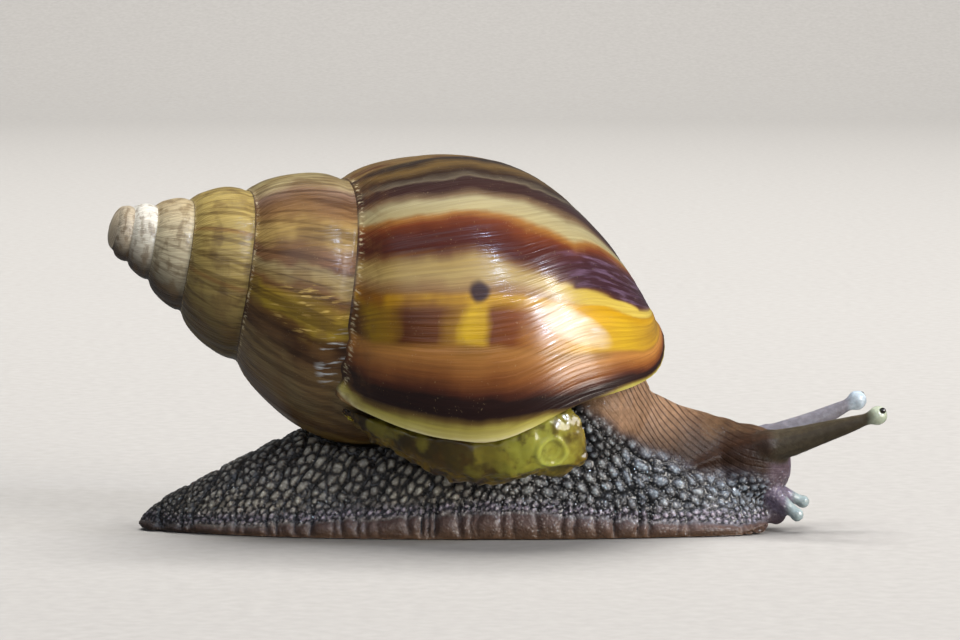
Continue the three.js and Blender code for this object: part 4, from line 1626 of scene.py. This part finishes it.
# ---- floor, lights and camera

@dataclass(frozen=True)
class PaperFinish:
    """Matt studio paper, whose fibres give only a faint mottle."""

    roughness: float = 0.85
    fibre_size: float = 1.1111 * MM

    def build(self) -> bpy.types.Material:
        """Make the material."""
        material, add, surface = new_material("matt_paper_floor")
        place = add("TexCoord", output="Object")
        fibre = add("TexNoise", {"Vector": place, "Scale": 1 / self.fibre_size, "Detail": 3.0})
        feed(surface, {
            "Base Color": add("ValToRGB", (fibre,), stops=((0.3, "8a8783"), (0.7, "918e8a"))),
            "Roughness": self.roughness,
        })
        return material


class Reach(Enum):
    """What one lamp gives: everything, only its light, or only its mirror image."""

    ALL = "all"
    SOFT = "soft"
    GLINT = "glint"


@dataclass(frozen=True)
class Lamp:
    """One square lamp: its place and side in metres, its power in watts, its tint and its reach."""

    name: str
    place: tuple[float, float, float]
    side: float
    power: float
    tint: str
    reach: Reach = Reach.ALL

    def build(self, aim: Vector) -> None:
        """Hang the lamp and turn it to what it lights.

        Args:
            aim: the place that it points at.
        """
        data = bpy.data.lights.new(self.name + "_light", "AREA")
        data.size = self.side
        data.energy = self.power
        data.color = linear(self.tint)[:3]
        lamp = bpy.data.objects.new(self.name + "_light", data)
        lamp.location = self.place
        lamp.rotation_euler = (aim - Vector(self.place)).to_track_quat("-Z", "Y").to_euler()
        lamp.visible_glossy = self.reach is not Reach.SOFT
        lamp.visible_diffuse = self.reach is not Reach.GLINT
        bpy.context.collection.objects.link(lamp)


@dataclass
class Studio:
    """A plain pale floor, soft lights and the camera."""

    target: Vector = field(default_factory=lambda: Vector((-1.4, 0, 14.757)) * MM)
    distance: float = 300 * MM
    elevation: float = math.radians(5)
    lens: float = 160.7
    sensor: float = 36
    floor_side: float = 4.0
    floor_back: float = 0.7
    sweep_radius: float = 0.4
    sweep_steps: int = 16
    lamps: tuple[Lamp, ...] = (
        Lamp("key", (0.40, -0.27, 0.155), 0.34, 3.6, "fff8ee"),
        Lamp("sky", (0.42, -0.19, 0.33), 0.05, 0.8, "dbe6ff"),
        Lamp("right_spark", (0.34, -0.36, 0.22), 0.012, 1.2, "c4dcff", Reach.GLINT),
        Lamp("upper_spark", (0.12, -0.34, 0.46), 0.012, 0.9, "c4dcff", Reach.GLINT),
        Lamp("top", (0.02, 0.06, 0.55), 0.40, 6.0, "ffffff", Reach.SOFT),
        Lamp("front", (-0.15, -0.55, 0.38), 0.6, 1.0, "e6eeff"),
    )
    wall_lamp: Lamp = Lamp("wall", (0.0, 0.45, 0.75), 0.5, 14.0, "ffffff", Reach.SOFT)
    room_tint: str = "dfe2e6"
    room_strength: float = 0.14

    def build(self) -> None:
        """Set up the whole studio."""
        bpy.context.scene.view_settings.view_transform = "Standard"
        self.build_floor()
        self.build_lights()
        self.build_camera()

    def build_floor(self) -> None:
        """Lay a pale paper floor and sweep it up behind."""
        bpy.ops.object.select_all(action="DESELECT")
        middle = (0, self.floor_back - self.floor_side / 2, 0)
        bpy.ops.mesh.primitive_plane_add(size=self.floor_side, location=middle)
        floor = bpy.context.active_object
        floor.name = "studio_floor"
        bpy.ops.object.transform_apply(location=True, rotation=True, scale=True)
        select_where(floor, positions(floor)[:, 1] > self.floor_back - 1e-4)
        turn = math.radians(90) / self.sweep_steps
        with editing(floor):
            for _ in range(self.sweep_steps):
                bpy.ops.mesh.extrude_region()
                bpy.ops.transform.rotate(value=-turn, orient_axis="X",
                                         center_override=(0, self.floor_back, self.sweep_radius))
            bpy.ops.mesh.extrude_region()
            bpy.ops.transform.translate(value=(0, 0, self.floor_side))
        select_only(floor)
        bpy.ops.object.shade_smooth()
        floor.data.materials.append(PaperFinish().build())
        floor.visible_glossy = False

    def build_lights(self) -> None:
        """Place the key, the fill and the pale surroundings."""
        for lamp in self.lamps:
            lamp.build(self.target)
        self.wall_lamp.build(Vector((0, self.floor_back + self.sweep_radius, 0)))
        world = bpy.context.scene.world or bpy.data.worlds.new("pale_room")
        bpy.context.scene.world = world
        world.use_nodes = True
        background = world.node_tree.nodes["Background"]
        feed(background, {"Color": self.room_tint, "Strength": self.room_strength})

    def build_camera(self) -> None:
        """Aim the camera a little down at the animal's right side."""
        data = bpy.data.cameras.new("camera")
        data.lens = self.lens
        data.sensor_width = self.sensor
        camera = bpy.data.objects.new("camera", data)
        back = Vector((0, -math.cos(self.elevation), math.sin(self.elevation)))
        camera.location = self.target + back * self.distance
        camera.rotation_euler = (-back).to_track_quat("-Z", "Y").to_euler()
        bpy.context.collection.objects.link(camera)
        bpy.context.scene.camera = camera


def main() -> None:
    """Build, dress and place every piece."""
    logging.basicConfig(level=logging.INFO, format="%(name)s %(message)s")
    finish_piece(SpiralShell().build(), ShellFinish().build(), ("shell",))
    skin = FleshSkin()
    finish_piece(skin.build(), SkinFinish().build(), skin.nodes)
    finish_piece(MantleEdge().build(), MantleFinish().build(), ("mantle_collar",))
    eye_finish = EyeFinish().build()
    for node_name in ("right_eye", "left_eye"):
        finish_piece(Eye(node_name).build(), eye_finish, (node_name,))
    Studio().build()


if __name__ == "__main__":
    main()
